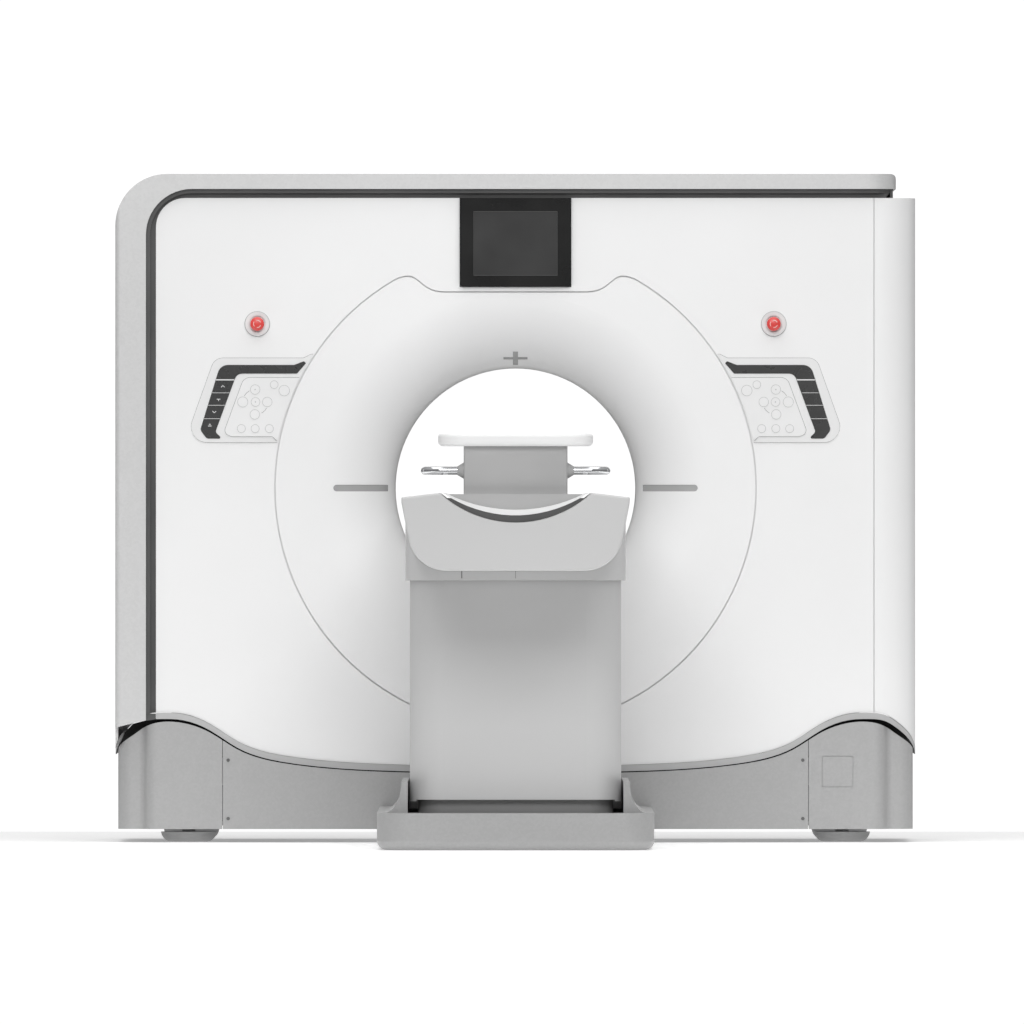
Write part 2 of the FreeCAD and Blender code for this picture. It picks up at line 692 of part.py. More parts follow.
def skirt_screws():
    heads = []
    for side in (-1, 1):
        for level in ("high", "low"):
            label, across = "%d_%s" % (side + 1, level), "%d * screw_out" % side
            head = rod("screw_" + label, "screw_head", (across, FRONT + " - skirt_proud - 2",
                                                        "screw_" + level),
                       "2")
            socket = rod("socket_" + label, "screw_head / 2",
                         (across, FRONT + " - skirt_proud - 3", "screw_" + level), "2")
            heads.append(cut("screw_body_" + label, head, socket))
    return node("skirt_screws", group("skirt_screw_set", *heads))


def levelling_feet():
    feet = []
    for side in (-1, 1):
        for number, along in enumerate((FRONT + " + foot_inset", REAR + " - foot_inset")):
            label = "foot_%d_%d" % (side + 1, number)
            owner = body(label)
            turn = owner.newObject("PartDesign::Revolution", label + "_turn")
            edges = [quarter((55, 0), (78, 2), (81, 29))] + path((81, 29), (19, 29), (19, 60), (0, 60),
                                                                 (0, 0),
                                                                (55, 0))
            turn.Profile = sketch(owner, label + "_sketch", edges, "XZ", "0")
            turn.ReferenceAxis = (turn.Profile[0], ["V_Axis"])
            turn.Angle = 360
            bind(owner, "Placement.Base.x", "%d * foot_out" % side)
            bind(owner, "Placement.Base.y", along)
            feet.append(owner)
    return node("levelling_feet", group("levelling_foot_set", *feet))


# ---------------------------------------------------------------- display, controls and stops

def display():
    wide, low = SIZE["display_half"], SIZE["display_base"]
    top = SIZE["gantry_top"] - SIZE["hood_over"] - SIZE["shadow_over"]
    screen, screen_low, screen_top = SIZE["screen_half"], SIZE["screen_base"], SIZE["screen_top"]
    shell = outline((-wide, low, 12), (wide, low, 12), (wide, top, 0), (-wide, top, 0))
    bezel_wall, screen_wall = 4.0, 6.0
    start = FRONT + " - display_proud"
    bezel = padded("display_bezel_sheet", shell + rectangle(-screen, screen, screen_low, screen_top, 2),
                   "XZ",
                   start, str(bezel_wall))
    node("display_bezel", bezel)
    lit = padded("display_screen_sheet", rectangle(-screen + 0.2, screen - 0.2, screen_low + 0.2,
                                                   screen_top - 0.2, 2),
                 "XZ", start + " + 0.6", str(screen_wall + bezel_wall - 0.6))
    node("display_screen", lit)
    housing = padded("display_housing_shell", shell, "XZ", start + " + %s" % bezel_wall, "52")
    pocket(housing, "screen_seat", rectangle(-screen, screen, screen_low, screen_top, 2), "XZ",
           start + " + %s - 1" % bezel_wall, str(screen_wall + 1))
    node("display_housing", housing)


def control_panel(side):
    """Bezel of one side, and its dark touch strip and pale keypad; the right side is a mirror."""
    name = "left" if side < 0 else "right"

    def mirrored(points):
        return outline(*[(-side * across, up, radius) for across, up, radius in points])

    def clear_of_funnel(label, panel):
        edge = rod(label + "_funnel", "funnel_radius + seam / 2 + 3", ("0", FRONT + " - 60", "isocentre"),
                   "100")
        return cut(label + "_clear", panel, edge)

    base = mirrored([(-560, 1411, 0), (-591, 1411, 10), (-613, 1400, 12), (-870, 1400, 34),
                     (-957, 1156, 46),
                     (-660, 1156, 0)])
    bezel = padded("bezel_" + name, base, "XZ", FRONT + " - 3", "3")
    node("control_bezel_" + name, clear_of_funnel("bezel_" + name, bezel))

    dark = mirrored([(-612, 1391, 3), (-606, 1385, 2), (-632, 1355, 6), (-806, 1355, 22), (-868, 1186, 10),
                     (-848, 1167, 4), (-893, 1167, 12), (-912, 1192, 14), (-854, 1380, 30),
                     (-640, 1380, 8)])
    strip = padded("strip_" + name, dark, "XZ", FRONT + " - 4.2", "1.2")
    strip = clear_of_funnel("strip_" + name, strip)

    pale = mirrored([(-600, 1345, 0), (-786, 1345, 26), (-846, 1182, 16), (-822, 1172, 14),
                     (-703, 1172, 12),
                     (-680, 1156, 6), (-640, 1156, 0)])
    pad_sheet = padded("keypad_sheet_" + name, pale, "XZ", FRONT + " - 5", "2")
    keys = [(-698, 1323, 12), (-669, 1306, 16), (-753, 1309, 14.5), (-789, 1273, 15.5), (-752, 1273, 13.4),
            (-718, 1273, 14.5), (-754, 1237, 14.5), (-793, 1196, 12.4), (-753, 1196, 12.4),
            (-712, 1196, 12.4)]
    domes = [rod("key_%s_%d" % (name, number), str(radius), (str(-side * across), FRONT + " - 6.2",
                                                             str(up)), "2")
             for number, (across, up, radius) in enumerate(keys)]
    keypad = clear_of_funnel("keypad_" + name, join("keypad_whole_" + name, pad_sheet, *domes))
    return strip, keypad


def controls():
    strips, keypads = zip(*[control_panel(side) for side in (-1, 1)])
    node("touch_strips", group("touch_strip_pair", *strips))
    node("keypads", group("keypad_pair", *keypads))
    node("estop_collars", group("estop_collar_pair", *[emergency_stop(side) for side in (-1, 1)]))


def emergency_stop(side):
    name = "left" if side < 0 else "right"
    out = "%d * estop_out" % side
    ring_start = FRONT + " - 8"
    collar = join("estop_collar_body_" + name,
                  rod("estop_flange_" + name, "estop_ring", (out, ring_start, "estop_height"), "8"),
                  rod("estop_barrel_" + name, "16.5", (out, ring_start, "estop_height"), "50"))
    bore = rod("estop_bore_" + name, "estop_stem + 0.3", (out, FRONT + " - 20", "estop_height"), "100")
    well = rod("estop_well_" + name, "estop_cap + 4", (out, FRONT + " - 20", "estop_height"), "16")
    collar = cut("estop_collar_cut_" + name, collar, bore, well)
    cap = body("estop_cap_body_" + name)
    turn = cap.newObject("PartDesign::Revolution", "estop_cap_turn_" + name)
    radius, stem = SIZE["estop_cap"], SIZE["estop_stem"]
    edges = [quarter((0, 0), (radius * 0.8, 0), (radius, 5))] + path((radius, 5), (radius, 12), (stem, 15),
                                                                      (stem, 56), (0, 56), (0, 0))
    turn.Profile = sketch(cap, "estop_cap_sketch_" + name, edges, "XY", "0")
    turn.ReferenceAxis = (turn.Profile[0], ["V_Axis"])
    turn.Angle = 360
    bind(cap, "Placement.Base.x", out)
    bind(cap, "Placement.Base.y", FRONT + " - 28")
    bind(cap, "Placement.Base.z", "estop_height")
    node("estop_cap_" + name, cap)
    return collar


# ---------------------------------------------------------------- rotor and what carries it

DISC = FRONT + " + scan_offset + window_width / 2 + rotor_gap"       # front face of the rotor disc
DISC_BACK = DISC + " + disc_wall"
PLATE = DISC_BACK + " + stator_gap"                                    # front face of the stator plate


def gantry_base_frame():
    inside = FRONT + " - (skirt_proud - cover_wall)"
    back = REAR + " - cover_wall"
    upright = PLATE + " + stator_wall"
    beams = [block("side_beam_left", ("-beam_outer", inside, "beam_low"),
                   ("-beam_inner", back, "beam_high")),
             block("side_beam_right", ("beam_inner", inside, "beam_low"),
                   ("beam_outer", back, "beam_high")),
             block("cross_beam_front", ("-beam_outer", inside, "beam_low"),
                   ("beam_outer", FRONT + " + 70", "beam_high")),
             block("cross_beam_rear", ("-beam_outer", back + " - 80", "beam_low"),
                   ("beam_outer", back, "beam_high")),
             block("upright_left", ("-upright_outer", upright, "beam_high"),
                   ("-upright_inner", upright + " + upright_depth", "upright_top")),
             block("upright_right", ("upright_inner", upright, "beam_high"),
                   ("upright_outer", upright + " + upright_depth", "upright_top"))]
    anchors = [rod("anchor_%d_%d" % (side + 1, number), "anchor_hole",
                   ("%d * anchor_out" % side, along, "0"), "beam_high + 40", "Z")
               for side in (-1, 1)
               for number, along in enumerate((FRONT + " + anchor_inset", REAR + " - anchor_inset"))]
    return node("gantry_base_frame", cut("frame_drilled", join("frame_weldment", *beams), *anchors))


def stator_plate():
    wide, low, top, corner = SIZE["stator_half"], SIZE["beam_high"], iso + SIZE["stator_rise"], 260
    shape = outline((-wide, low, 0), (wide, low, 0), (wide, top, corner), (-wide, top, corner))
    holes = [circle(0, iso, SIZE["bearing_outer"]),
             circle(SIZE["motor_out"], SIZE["motor_height"], SIZE["shaft_radius"] + 5)]
    return node("stator_plate", padded("stator_sheet", shape + holes, "XZ", PLATE, "stator_wall"))


def cover_struts():
    """Rods and brackets that carry the covers from the stator plate."""
    struts = []
    front_start = FRONT + " + cover_wall"
    rear_start = PLATE + " + stator_wall"
    for side in (-1, 1):
        for number, (out, up) in enumerate(((800, 1700), (985, 700))):
            label = "strut_%d_%d" % (side + 1, number)
            struts.append(rod(label + "_front", "strut_radius", (str(side * out), front_start, str(up)),
                              "%s - (%s)" % (PLATE, front_start)))
            struts.append(rod(label + "_rear", "strut_radius",
                              (str(side * (out - 100)), rear_start, str(up)),
                              "%s - cover_wall - (%s)" % (REAR, rear_start)))
    top, inner = "gantry_top - cover_wall", HALF + " - cover_wall"
    for side, low, high in (("left", "-(%s)" % inner, "-stator_half"), ("right", "stator_half", inner)):
        struts.append(block("bracket_" + side, (low, PLATE, "900"),
                            (high, PLATE + " + stator_wall", "960")))
    struts.append(block("bracket_top", ("-60", PLATE, "isocentre + stator_rise"),
                        ("60", PLATE + " + stator_wall", top)))
    return node("cover_struts", group("cover_strut_set", *struts))


def bearing():
    outer = tube("bearing_outer_body", "bearing_outer", "bearing_race + fit",
                 ("0", DISC_BACK + " + 3", "isocentre"), "stator_wall + race_lap - 1")
    flange = tube("bearing_flange", "bearing_outer + 35", "bearing_outer - 1",
                  ("0", PLATE + " - 14", "isocentre"), "14")
    node("bearing_outer_ring", join("bearing_outer_whole", outer, flange))
    node("bearing_inner_ring", tube("bearing_inner_body", "bearing_race", "bearing_inner",
                                    ("0", DISC_BACK, "isocentre"), "stator_wall + race_lap"))


def rotor():
    node("rotor_disc", tube("rotor_disc_sheet", "rotor_radius", "rotor_bore", ("0", DISC, "isocentre"),
                            "disc_wall"))
    node("slip_ring", tube("slip_ring_band", "700", "640", ("0", DISC_BACK, "isocentre"), "20"))

    tube_body = join("xray_tube_body",
                     rod("xray_tube_can", "88", ("0", DISC + " - 190", "isocentre + 610"), "190"),
                     rod("xray_tube_cap", "60", ("0", DISC + " - 240", "isocentre + 610"), "60"))
    node("xray_tube", tube_body)
    node("collimator", block("collimator_box", ("-110", DISC + " - 95", "isocentre + 400"),
                             ("110", DISC, "isocentre + 515")))

    inner, outer, spread = 420.0, 520.0, math.radians(30)

    def fan(radius, angle):
        return Vector(radius * math.sin(angle), iso - radius * math.cos(angle), 0)

    sector = [arc(fan(inner, -spread), fan(inner, 0), fan(inner, spread)),
              Part.LineSegment(fan(inner, spread), fan(outer, spread)),
              arc(fan(outer, spread), fan(outer, 0), fan(outer, -spread)),
              Part.LineSegment(fan(outer, -spread), fan(inner, -spread))]
    node("detector_array", padded("detector_arc", sector, "XZ", DISC + " - 95", "95"))

    low, high = "isocentre - unit_half", "isocentre + unit_half"
    node("high_voltage_generator", block("generator_box", ("unit_inner", DISC + " - unit_depth", low),
                                         ("unit_outer", DISC, high)))
    node("heat_exchanger", block("exchanger_box", ("-unit_outer", DISC + " - unit_depth", low),
                                 ("-unit_inner", DISC, high)))


def belt_loop(grow):
    """Straight runs and arcs of a belt round the rotor disc and the motor pulley, grown by an amount."""
    big, small = SIZE["rotor_radius"] + grow, SIZE["pulley_radius"] + grow
    centre = Vector(0, iso, 0)
    pulley = Vector(SIZE["motor_out"], SIZE["motor_height"], 0)
    along = pulley - centre
    lean = math.acos((big - small) / along.Length)
    heading = math.atan2(along.y, along.x)

    def touch(origin, radius, angle):
        return origin + Vector(radius * math.cos(angle), radius * math.sin(angle), 0)

    first, second = heading + lean, heading - lean
    return [arc(touch(centre, big, first), touch(centre, big, heading + math.pi),
                touch(centre, big, second)),
            Part.LineSegment(touch(centre, big, second), touch(pulley, small, second)),
            arc(touch(pulley, small, second), touch(pulley, small, heading), touch(pulley, small, first)),
            Part.LineSegment(touch(pulley, small, first), touch(centre, big, first))]


def drive():
    slack = 0.35
    belt = padded("belt_band", belt_loop(SIZE["belt_wall"]) + belt_loop(slack), "XZ", DISC + " + 2",
                  "belt_width")
    node("drive_belt", belt)
    at = ("motor_out", DISC, "motor_height")
    shaft_start = DISC_BACK
    pulley = join("motor_pulley_body", rod("pulley_wheel", "pulley_radius", at, "disc_wall"),
                  rod("pulley_shaft", "shaft_radius", ("motor_out", shaft_start, "motor_height"),
                      "stator_gap + stator_wall + 40"))
    node("motor_pulley", pulley)
    motor_start = PLATE + " + stator_wall"
    can = rod("motor_can", "motor_radius", ("motor_out", motor_start, "motor_height"), "motor_length")
    socket = rod("motor_socket", "shaft_radius + 0.3", ("motor_out", motor_start + " - 1", "motor_height"),
                 "46")
    node("drive_motor", cut("drive_motor_body", can, socket))
    brush = block("brush_box", ("-552", DISC_BACK + " + 3", "isocentre + 500"),
                  ("-500", PLATE, "isocentre + 575"))
    keep_out = rod("brush_curve", "700.5", ("0", DISC_BACK, "isocentre"), "60")
    node("brush_block", cut("brush_block_cut", brush, keep_out))


# ---------------------------------------------------------------- table

PEDESTAL = FOOT + " + pedestal_front"
pedestal_near = foot + SIZE["pedestal_front"]
pedestal_far = pedestal_near + SIZE["pedestal_length"]


def pedestal_plan(inset):
    """Rounded plan of the moving shroud, set in or (negative) out by an amount."""
    wide = SIZE["pedestal_half"] - inset
    corner = max(SIZE["pedestal_corner"] - inset, 5.0)
    return rectangle(-wide, wide, pedestal_near + inset, pedestal_far - inset, corner)


def dish(lift, narrow):
    """An arc across the table top: the channel's own line, lifted in the middle and narrowed at the tips."""
    tip, height = SIZE["dish_half"] - narrow, SIZE["dish_tip"]
    return arc(Vector(-tip, height, 0), Vector(0, SIZE["dish_low"] + lift, 0), Vector(tip, height, 0)), tip


def dish_layer(lower, upper=None):
    """A closed strip between two such arcs, or the filled dish above one arc."""
    height = SIZE["dish_tip"]
    under, tip = dish(*lower)
    if upper is None:
        return [under, line((tip, height), (-tip, height))]
    over, inner = dish(*upper)
    return [under, line((tip, height), (inner, height)), over, line((-inner, height), (-tip, height))]


def bowl_outline(inset=0.0, top=None):
    """Section of the table top: wide rim, tapering sides and a rounded, flat bottom."""
    wide, rim, base = SIZE["bowl_half"] - inset, SIZE["bowl_rim"], SIZE["bowl_base"] + inset
    shoulder, taper, waist = 15.0, 37.0, 110.0 - inset
    lower = [(wide, rim - shoulder, 60), (wide - taper, base, waist), (-wide + taper, base, waist),
             (-wide, rim - shoulder, 60)]
    if top is not None:
        share = (rim - shoulder - top) / (rim - shoulder - base)
        edge = wide - taper * share
        return outline((edge, top, 0), (wide - taper, base, waist), (-wide + taper, base, waist),
                       (-edge, top, 0))
    tip, height = SIZE["dish_half"], SIZE["dish_tip"]
    return outline((-tip, height, 0), (tip, height, 0), (wide, rim, 4), *lower, (-wide, rim, 4))


# Layers of the channel from the bottom up: (lift in the middle, narrowing at the tips).
CHANNEL = (0, 0)
RAIL_UNDER = (0.3, 0.3)
RAIL_TOP = (SIZE["rail_wall"], 8.0)
CRADLE_UNDER = (SIZE["rail_wall"] + SIZE["cradle_gap"], 8.6)
CRADLE_TOP = (SIZE["rail_wall"] + SIZE["cradle_gap"] + SIZE["cradle_wall"], 16.0)
PAD_UNDER = (CRADLE_TOP[0] + 0.5, 16.6)


def table_base():
    """Cast plinth with rounded plan, flared side walls and a pit for the moving shroud."""
    wide, high = SIZE["plinth_half"], SIZE["plinth_height"]
    near = pedestal_near - SIZE["plinth_front"]
    far = front - SIZE["skirt_proud"]
    floor, clear = 12.0, 6.0
    owner = padded("plinth", outline((-wide, near, 90), (wide, near, 90), (wide, far, 0), (-wide, far, 0)),
                   "XY",
                   "0", "plinth_height")
    wall_in, wall_top, wall_out = SIZE["pedestal_half"] + clear, 323.0, wide - 20
    top = SIZE["flare_top"]
    for side in (-1, 1):
        flare = [line((side * wall_in, high - 4), (side * wall_in, top)),
                 line((side * wall_in, top), (side * wall_top, top)),
                 quarter((side * wall_top, top), (side * wall_top, high), (side * wall_out, high)),
                 line((side * wall_out, high), (side * wall_out, high - 4)),
                 line((side * wall_out, high - 4), (side * wall_in, high - 4))]
        pad(owner, "plinth_flare_%d" % (side + 1), flare, "XZ", PEDESTAL + " - 20", "pedestal_length + 60")
    wall_far = pedestal_far + clear
    pad(owner, "plinth_back", rectangle(-wall_in, wall_in, wall_far, wall_far + 34), "XY",
        "plinth_height - 4",
        "flare_top - plinth_height + 4")
    pit = rectangle(-wall_in, wall_in, pedestal_near - clear, wall_far, SIZE["pedestal_corner"])
    pocket(owner, "plinth_pit", pit, "XY", str(floor), "400")
    rounded(owner, "plinth_under_round", 26, lambda edge: lies_at(edge, "Z", 0) and not lies_at(edge, "Y",
                                                                                                far))
    return node("table_base", owner)


def inner_shroud():
    inset = 23.0
    owner = padded("inner_shroud_wall", pedestal_plan(inset) + pedestal_plan(inset + SIZE["table_wall"]),
                   "XY",
                   "12", "588")
    return node("inner_shroud", owner)


def glide_pads():
    """Nylon pads on the fixed box, on which the moving shroud runs."""
    pads = []
    inner, outer = "pedestal_half - 23", "pedestal_half - table_wall - 0.3"
    for number, along in enumerate(("200", "pedestal_length - 260")):
        for side in (-1, 1):
            low, high = (inner, outer) if side > 0 else ("-(%s)" % outer, "-(%s)" % inner)
            start = PEDESTAL + " + " + along
            pads.append(block("glide_%d_%d" % (number, side + 1), (low, start, "540"),
                              (high, start + " + 60", "590")))
    return node("glide_pads", group("glide_pad_set", *pads))


def pedestal_shroud():
    owner = padded("shroud_wall", pedestal_plan(0) + pedestal_plan(SIZE["table_wall"]), "XY", "shroud_base",
                   "shroud_top - shroud_base")
    notch, rise, sheet_reach = 18.0, 5.0, SIZE["pedestal_corner"] * 0.9
    gap = rectangle(-SIZE["pedestal_half"] + notch, SIZE["pedestal_half"] - notch, SIZE["shroud_base"] - 1,
                    SIZE["shroud_base"] + rise)
    pocket(owner, "shroud_foot_relief", gap, "XZ", PEDESTAL + " - 1", str(sheet_reach))
    return node("pedestal_shroud", owner)


def lift_collar():
    out = -SIZE["collar_gap"]
    top = 960.0
    owner = padded("collar_wall", pedestal_plan(out - SIZE["table_wall"]) + pedestal_plan(out), "XY",
                   "collar_base",
                   "%s - collar_base" % top)
    return node("lift_collar", cut("collar_cut", owner, padded("collar_bowl", bowl_outline(-0.3), "XZ",
                                                               FOOT + " - 10", "table_length + 20")))


def table_body():
    owner = padded("table_beam", bowl_outline(), "XZ", FOOT + " + cap_length", "table_length - cap_length")
    pocket(owner, "table_channel", dish_layer(CHANNEL), "XZ", FOOT, "table_length + 10")
    hollow = bowl_outline(SIZE["bowl_wall"], SIZE["deck_base"])
    pocket(owner, "table_hollow", hollow, "XZ", FOOT + " + cap_length + bowl_wall",
           "table_length - cap_length - 2 * bowl_wall")
    room = pedestal_plan(-SIZE["collar_gap"])
    pocket(owner, "table_opening", room, "XY", "600", "deck_base - 600")
    return node("table_body", owner)


def end_cap():
    owner = padded("cap_block", bowl_outline(), "XZ", FOOT, "cap_length")
    pocket(owner, "cap_channel", dish_layer(CHANNEL), "XZ", FOOT + " - 10", "cap_length + 20")
    pocket(owner, "cap_hollow", bowl_outline(SIZE["bowl_wall"], SIZE["deck_base"]), "XZ", FOOT + " + 14",
           "cap_length")
    rounded(owner, "cap_front_round", 5, lambda edge: lies_at(edge, "Y", foot) and not on_channel(edge))
    return node("end_cap", owner)


def on_channel(edge):
    """Whether an edge lies on the channel's arc, which stays crisp."""
    return abs(edge.CenterOfMass.x) < 1 and edge.CenterOfMass.z > SIZE["bowl_base"] + 5


def cradle_rail():
    owner = padded("rail_strip", dish_layer(RAIL_UNDER, RAIL_TOP), "XZ", FOOT + " + 6", "table_length - 16")
    above = block("rail_trim", ("-bowl_half", FOOT, "dish_tip - 14.5"),
                  ("bowl_half", FRONT, "dish_tip + 20"))
    return node("cradle_rail", cut("rail_cut", owner, above))


def cradle():
    return node("cradle", padded("cradle_shell", dish_layer(CRADLE_UNDER, CRADLE_TOP), "XZ", FOOT + " + 4",
                                 "table_length - 24"))


def mattress():
    owner = padded("mattress_block", dish_layer(PAD_UNDER), "XZ", FOOT + " + 2 * box_length",
                   "table_length - 460")
    above = block("mattress_trim", ("-bowl_half", FOOT, "box_base - 2"),
                  ("bowl_half", FRONT, "dish_tip + 20"))
    return node("mattress", cut("mattress_cut", owner, above))


def grip_unit():
    start = FOOT + " + 40"
    seat = padded("grip_seat", dish_layer(PAD_UNDER), "XZ", FOOT + " + 8", "box_length + 100")
    above = block("seat_trim", ("-bowl_half", FOOT, "box_base"), ("bowl_half", FRONT, "dish_tip + 20"))
    wide, near = SIZE["box_half"], foot + 40
    box = padded("grip_box_block", rectangle(-wide, wide, near, near + SIZE["box_length"], 6), "XY",
                 "box_base",
                 "box_top - box_base")
    bosses = []
    boss, reach = 18.0, SIZE["loop_tube"] * 2
    for side, turn in ((-1, Rotation(Vector(0, 1, 0), -90)), (1, Rotation(Vector(0, 1, 0), 90))):
        for number, along in enumerate(("30", "box_length - 30")):
            place = ("%d * box_half" % side, start + " + " + along, "loop_height")
            bosses.append(cone("boss_%d_%d" % (side + 1, number), str(reach), "loop_tube + 0.5", place,
                               str(boss), turn))
    whole = join("grip_box_whole", cut("grip_seat_cut", seat, above), box, *bosses)
    node("grip_box", whole)

    plate_wide = SIZE["plate_half"]
    plate = padded("rest_plate_slab", rectangle(-plate_wide, plate_wide, near - 30,
                                                near + SIZE["box_length"] + 60, 72),
                   "XY", "box_top", "plate_top - box_top")
    rounded(plate, "plate_under_round", 14, lambda edge: lies_at(edge, "Z", SIZE["box_top"]))
    rounded(plate, "plate_top_round", 9, lambda edge: lies_at(edge, "Z", SIZE["plate_top"]))
    node("rest_plate", plate)

    loops = []
    legs = (near + 30, near + SIZE["box_length"] - 30)
    bend = 52.0
    for side in (-1, 1):
        label = "loop_%d" % (side + 1)
        root, tip = side * (wide + boss), side * (SIZE["loop_reach"] - SIZE["loop_tube"])
        turn_in = tip - side * bend
        share = bend * (1 - math.sqrt(0.5))
        owner = body(label)
        spine = [line((root, legs[0]), (turn_in, legs[0])),
                 arc(Vector(turn_in, legs[0], 0), Vector(tip - side * share, legs[0] + share, 0),
                     Vector(tip, legs[0] + bend, 0)),
                 line((tip, legs[0] + bend), (tip, legs[1] - bend)),
                 arc(Vector(tip, legs[1] - bend, 0), Vector(tip - side * share, legs[1] - share, 0),
                     Vector(turn_in, legs[1], 0)),
                 line((turn_in, legs[1]), (root, legs[1]))]
        route = sketch(owner, label + "_route", spine, "XY", "loop_height")
        ring = sketch(owner, label + "_section", [circle(legs[0], SIZE["loop_height"], SIZE["loop_tube"])],
                      "YZ",
                      "%d * (box_half + %s)" % (side, boss))
        pipe = owner.newObject("PartDesign::AdditivePipe", label + "_pipe")
        pipe.Profile = ring
        pipe.Spine = (route, ["Edge%d" % number for number in range(1, len(spine) + 1)])
        loops.append(owner)
    node("grip_loops", group("grip_loop_pair", *loops))


def lift():
    """Guides, screw, gear motor and the carriage that hangs from the table top."""
    axis = PEDESTAL + " + pedestal_length / 2"
    floor = "12"
    guides = []
    for side in (-1, 1):
        place = ("%d * guide_out" % side, axis, floor)
        bar = rod("guide_bar_%d" % (side + 1), "guide_radius", place, "guide_top - 12", "Z")
        foot_ring = rod("guide_foot_%d" % (side + 1), "guide_radius + 20", place, "14", "Z")
        guides.append(join("guide_%d" % (side + 1), bar, foot_ring))
    node("lift_guides", group("lift_guide_pair", *guides))

    node("lift_screw", rod("lift_screw_bar", "screw_radius", ("0", axis, "34"), "guide_top - 34", "Z"))
    gear = block("lift_gear_case", ("-80", axis + " - 90", floor), ("80", axis + " + 90", "92"))
    motor = rod("lift_motor_can", "38", ("0", axis + " + 90", "52"), "150")
    socket = rod("lift_screw_socket", "screw_radius + 0.3", ("0", axis, "33.7"), "100", "Z")
    node("lift_motor", cut("lift_motor_whole", join("lift_motor_body", gear, motor), socket))

    reach = "(pedestal_half - carriage_gap)"
    leg_in = "(pedestal_half - carriage_gap - carriage_leg)"
    plate = block("carriage_plate", ("-" + reach, axis + " - 400", "deck_base - 12"),
                  (reach, axis + " + 400", "deck_base"))
    legs = [block("carriage_leg_%d" % number, (low, axis + " - 60", "590"),
                  (high, axis + " + 60", "deck_base - 6"))
            for number, (low, high) in enumerate((("-" + reach, "-" + leg_in), (leg_in, reach)))]
    nut = block("carriage_nut", ("-" + reach, axis + " - 60", "590"), (reach, axis + " + 60", "640"))
    bores = [rod("carriage_bore_%d" % (side + 1), "guide_radius + 0.3",
                 ("%d * guide_out" % side, axis, "500"), "200",
                 "Z") for side in (-1, 1)]
    bores.append(rod("carriage_screw_bore", "screw_radius + 0.3", ("0", axis, "500"), "200", "Z"))
    node("lift_carriage", cut("carriage_cut", join("carriage_whole", plate, nut, *legs), *bores))


# ---------------------------------------------------------------- build, check and write

def build():
    front_funnel()
    laser_windows()
    scan_window()
    rear_funnel()
    front_cover()
    hood()
    hood_shadow_strip()
    right_side_cover()
    rear_cover()
    skirt_corner("skirt_corner_left", -1)
    skirt_corner("skirt_corner_right", 1)
    access_plate()
    skirt_centre()
    skirt_rear()
    base_trim()
    skirt_screws()
    levelling_feet()
    display()
    controls()
    gantry_base_frame()
    stator_plate()
    cover_struts()
    bearing()
    rotor()
    drive()
    table_base()
    inner_shroud()
    glide_pads()
    pedestal_shroud()
    lift_collar()
    table_body()
    end_cap()
    cradle_rail()
    cradle()
    mattress()
    grip_unit()
    lift()
    doc.recompute()


def write():
    """Stop at any failed feature or bad shape, then write every sub-part."""
    failed = [thing.Name for thing in doc.Objects if {"Invalid", "Error"} & set(thing.State)]
    if failed:
        raise SystemExit("failed features: " + ", ".join(failed))
    for thing in NODES:
        if thing.Shape.isNull() or not thing.Shape.isValid() or not thing.Shape.Solids:
            raise SystemExit("bad shape: " + thing.Label)
    os.makedirs("parts", exist_ok=True)
    for thing in NODES:
        thing.Shape.exportStep("parts/%s.step" % thing.Label)
    print("%d sub-parts written" % len(NODES))


build()
write()
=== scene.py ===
"""Looks of a CT scanner: paint, glass, chrome, vinyl and the small printed and moulded details."""
import json
import math

import bmesh
import bpy
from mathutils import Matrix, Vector


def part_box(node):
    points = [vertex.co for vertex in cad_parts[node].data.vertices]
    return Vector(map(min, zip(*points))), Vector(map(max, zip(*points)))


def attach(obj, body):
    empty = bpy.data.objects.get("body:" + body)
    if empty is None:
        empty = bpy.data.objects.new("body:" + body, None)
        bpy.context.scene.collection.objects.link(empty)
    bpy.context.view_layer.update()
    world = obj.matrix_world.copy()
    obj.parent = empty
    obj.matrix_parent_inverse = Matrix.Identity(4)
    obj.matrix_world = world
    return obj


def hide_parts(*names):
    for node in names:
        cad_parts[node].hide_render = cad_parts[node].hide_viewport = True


bl_info = {
    "name": "CT scanner finishes",
    "version": (1, 0, 0),
    "blender": (4, 5, 0),
    "location": "View3D > Sidebar > CT scanner",
    "description": "Finishes, controls, upholstery and studio for a CT scanner",
    "category": "Object",
}

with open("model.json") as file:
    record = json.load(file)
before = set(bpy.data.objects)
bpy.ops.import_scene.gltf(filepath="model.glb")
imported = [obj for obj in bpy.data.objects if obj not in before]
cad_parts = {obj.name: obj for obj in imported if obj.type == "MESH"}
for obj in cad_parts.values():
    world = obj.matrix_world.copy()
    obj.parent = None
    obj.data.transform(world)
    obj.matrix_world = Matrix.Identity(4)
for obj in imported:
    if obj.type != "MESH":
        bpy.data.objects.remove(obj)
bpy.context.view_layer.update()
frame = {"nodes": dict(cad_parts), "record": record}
NODES = frame["nodes"]
MM = 0.001
SAME_PLACE = 1e-4    # points closer than this, in metres, count as level with each other

# the front of the gantry covers, and what stands proud of it, in metres from the middle of the machine
PANEL_FACE, STRIP_FACE, KEYPAD_FACE, KEY_FACE = 0.700, 0.6958, 0.695, 0.6938
STRIP_FOOT_FACE = 0.690

# the camera's view at the covers: its width, and its middle (x, z), in metres
VIEW_WIDTH = 2.962
VIEW_CENTRE = (-0.0101, 0.9547)
SENSOR_WIDTH, CLIP_MARGIN = 36.0, 60.0    # millimetres, and metres seen beyond the covers


# ---------------------------------------------------------------- materials

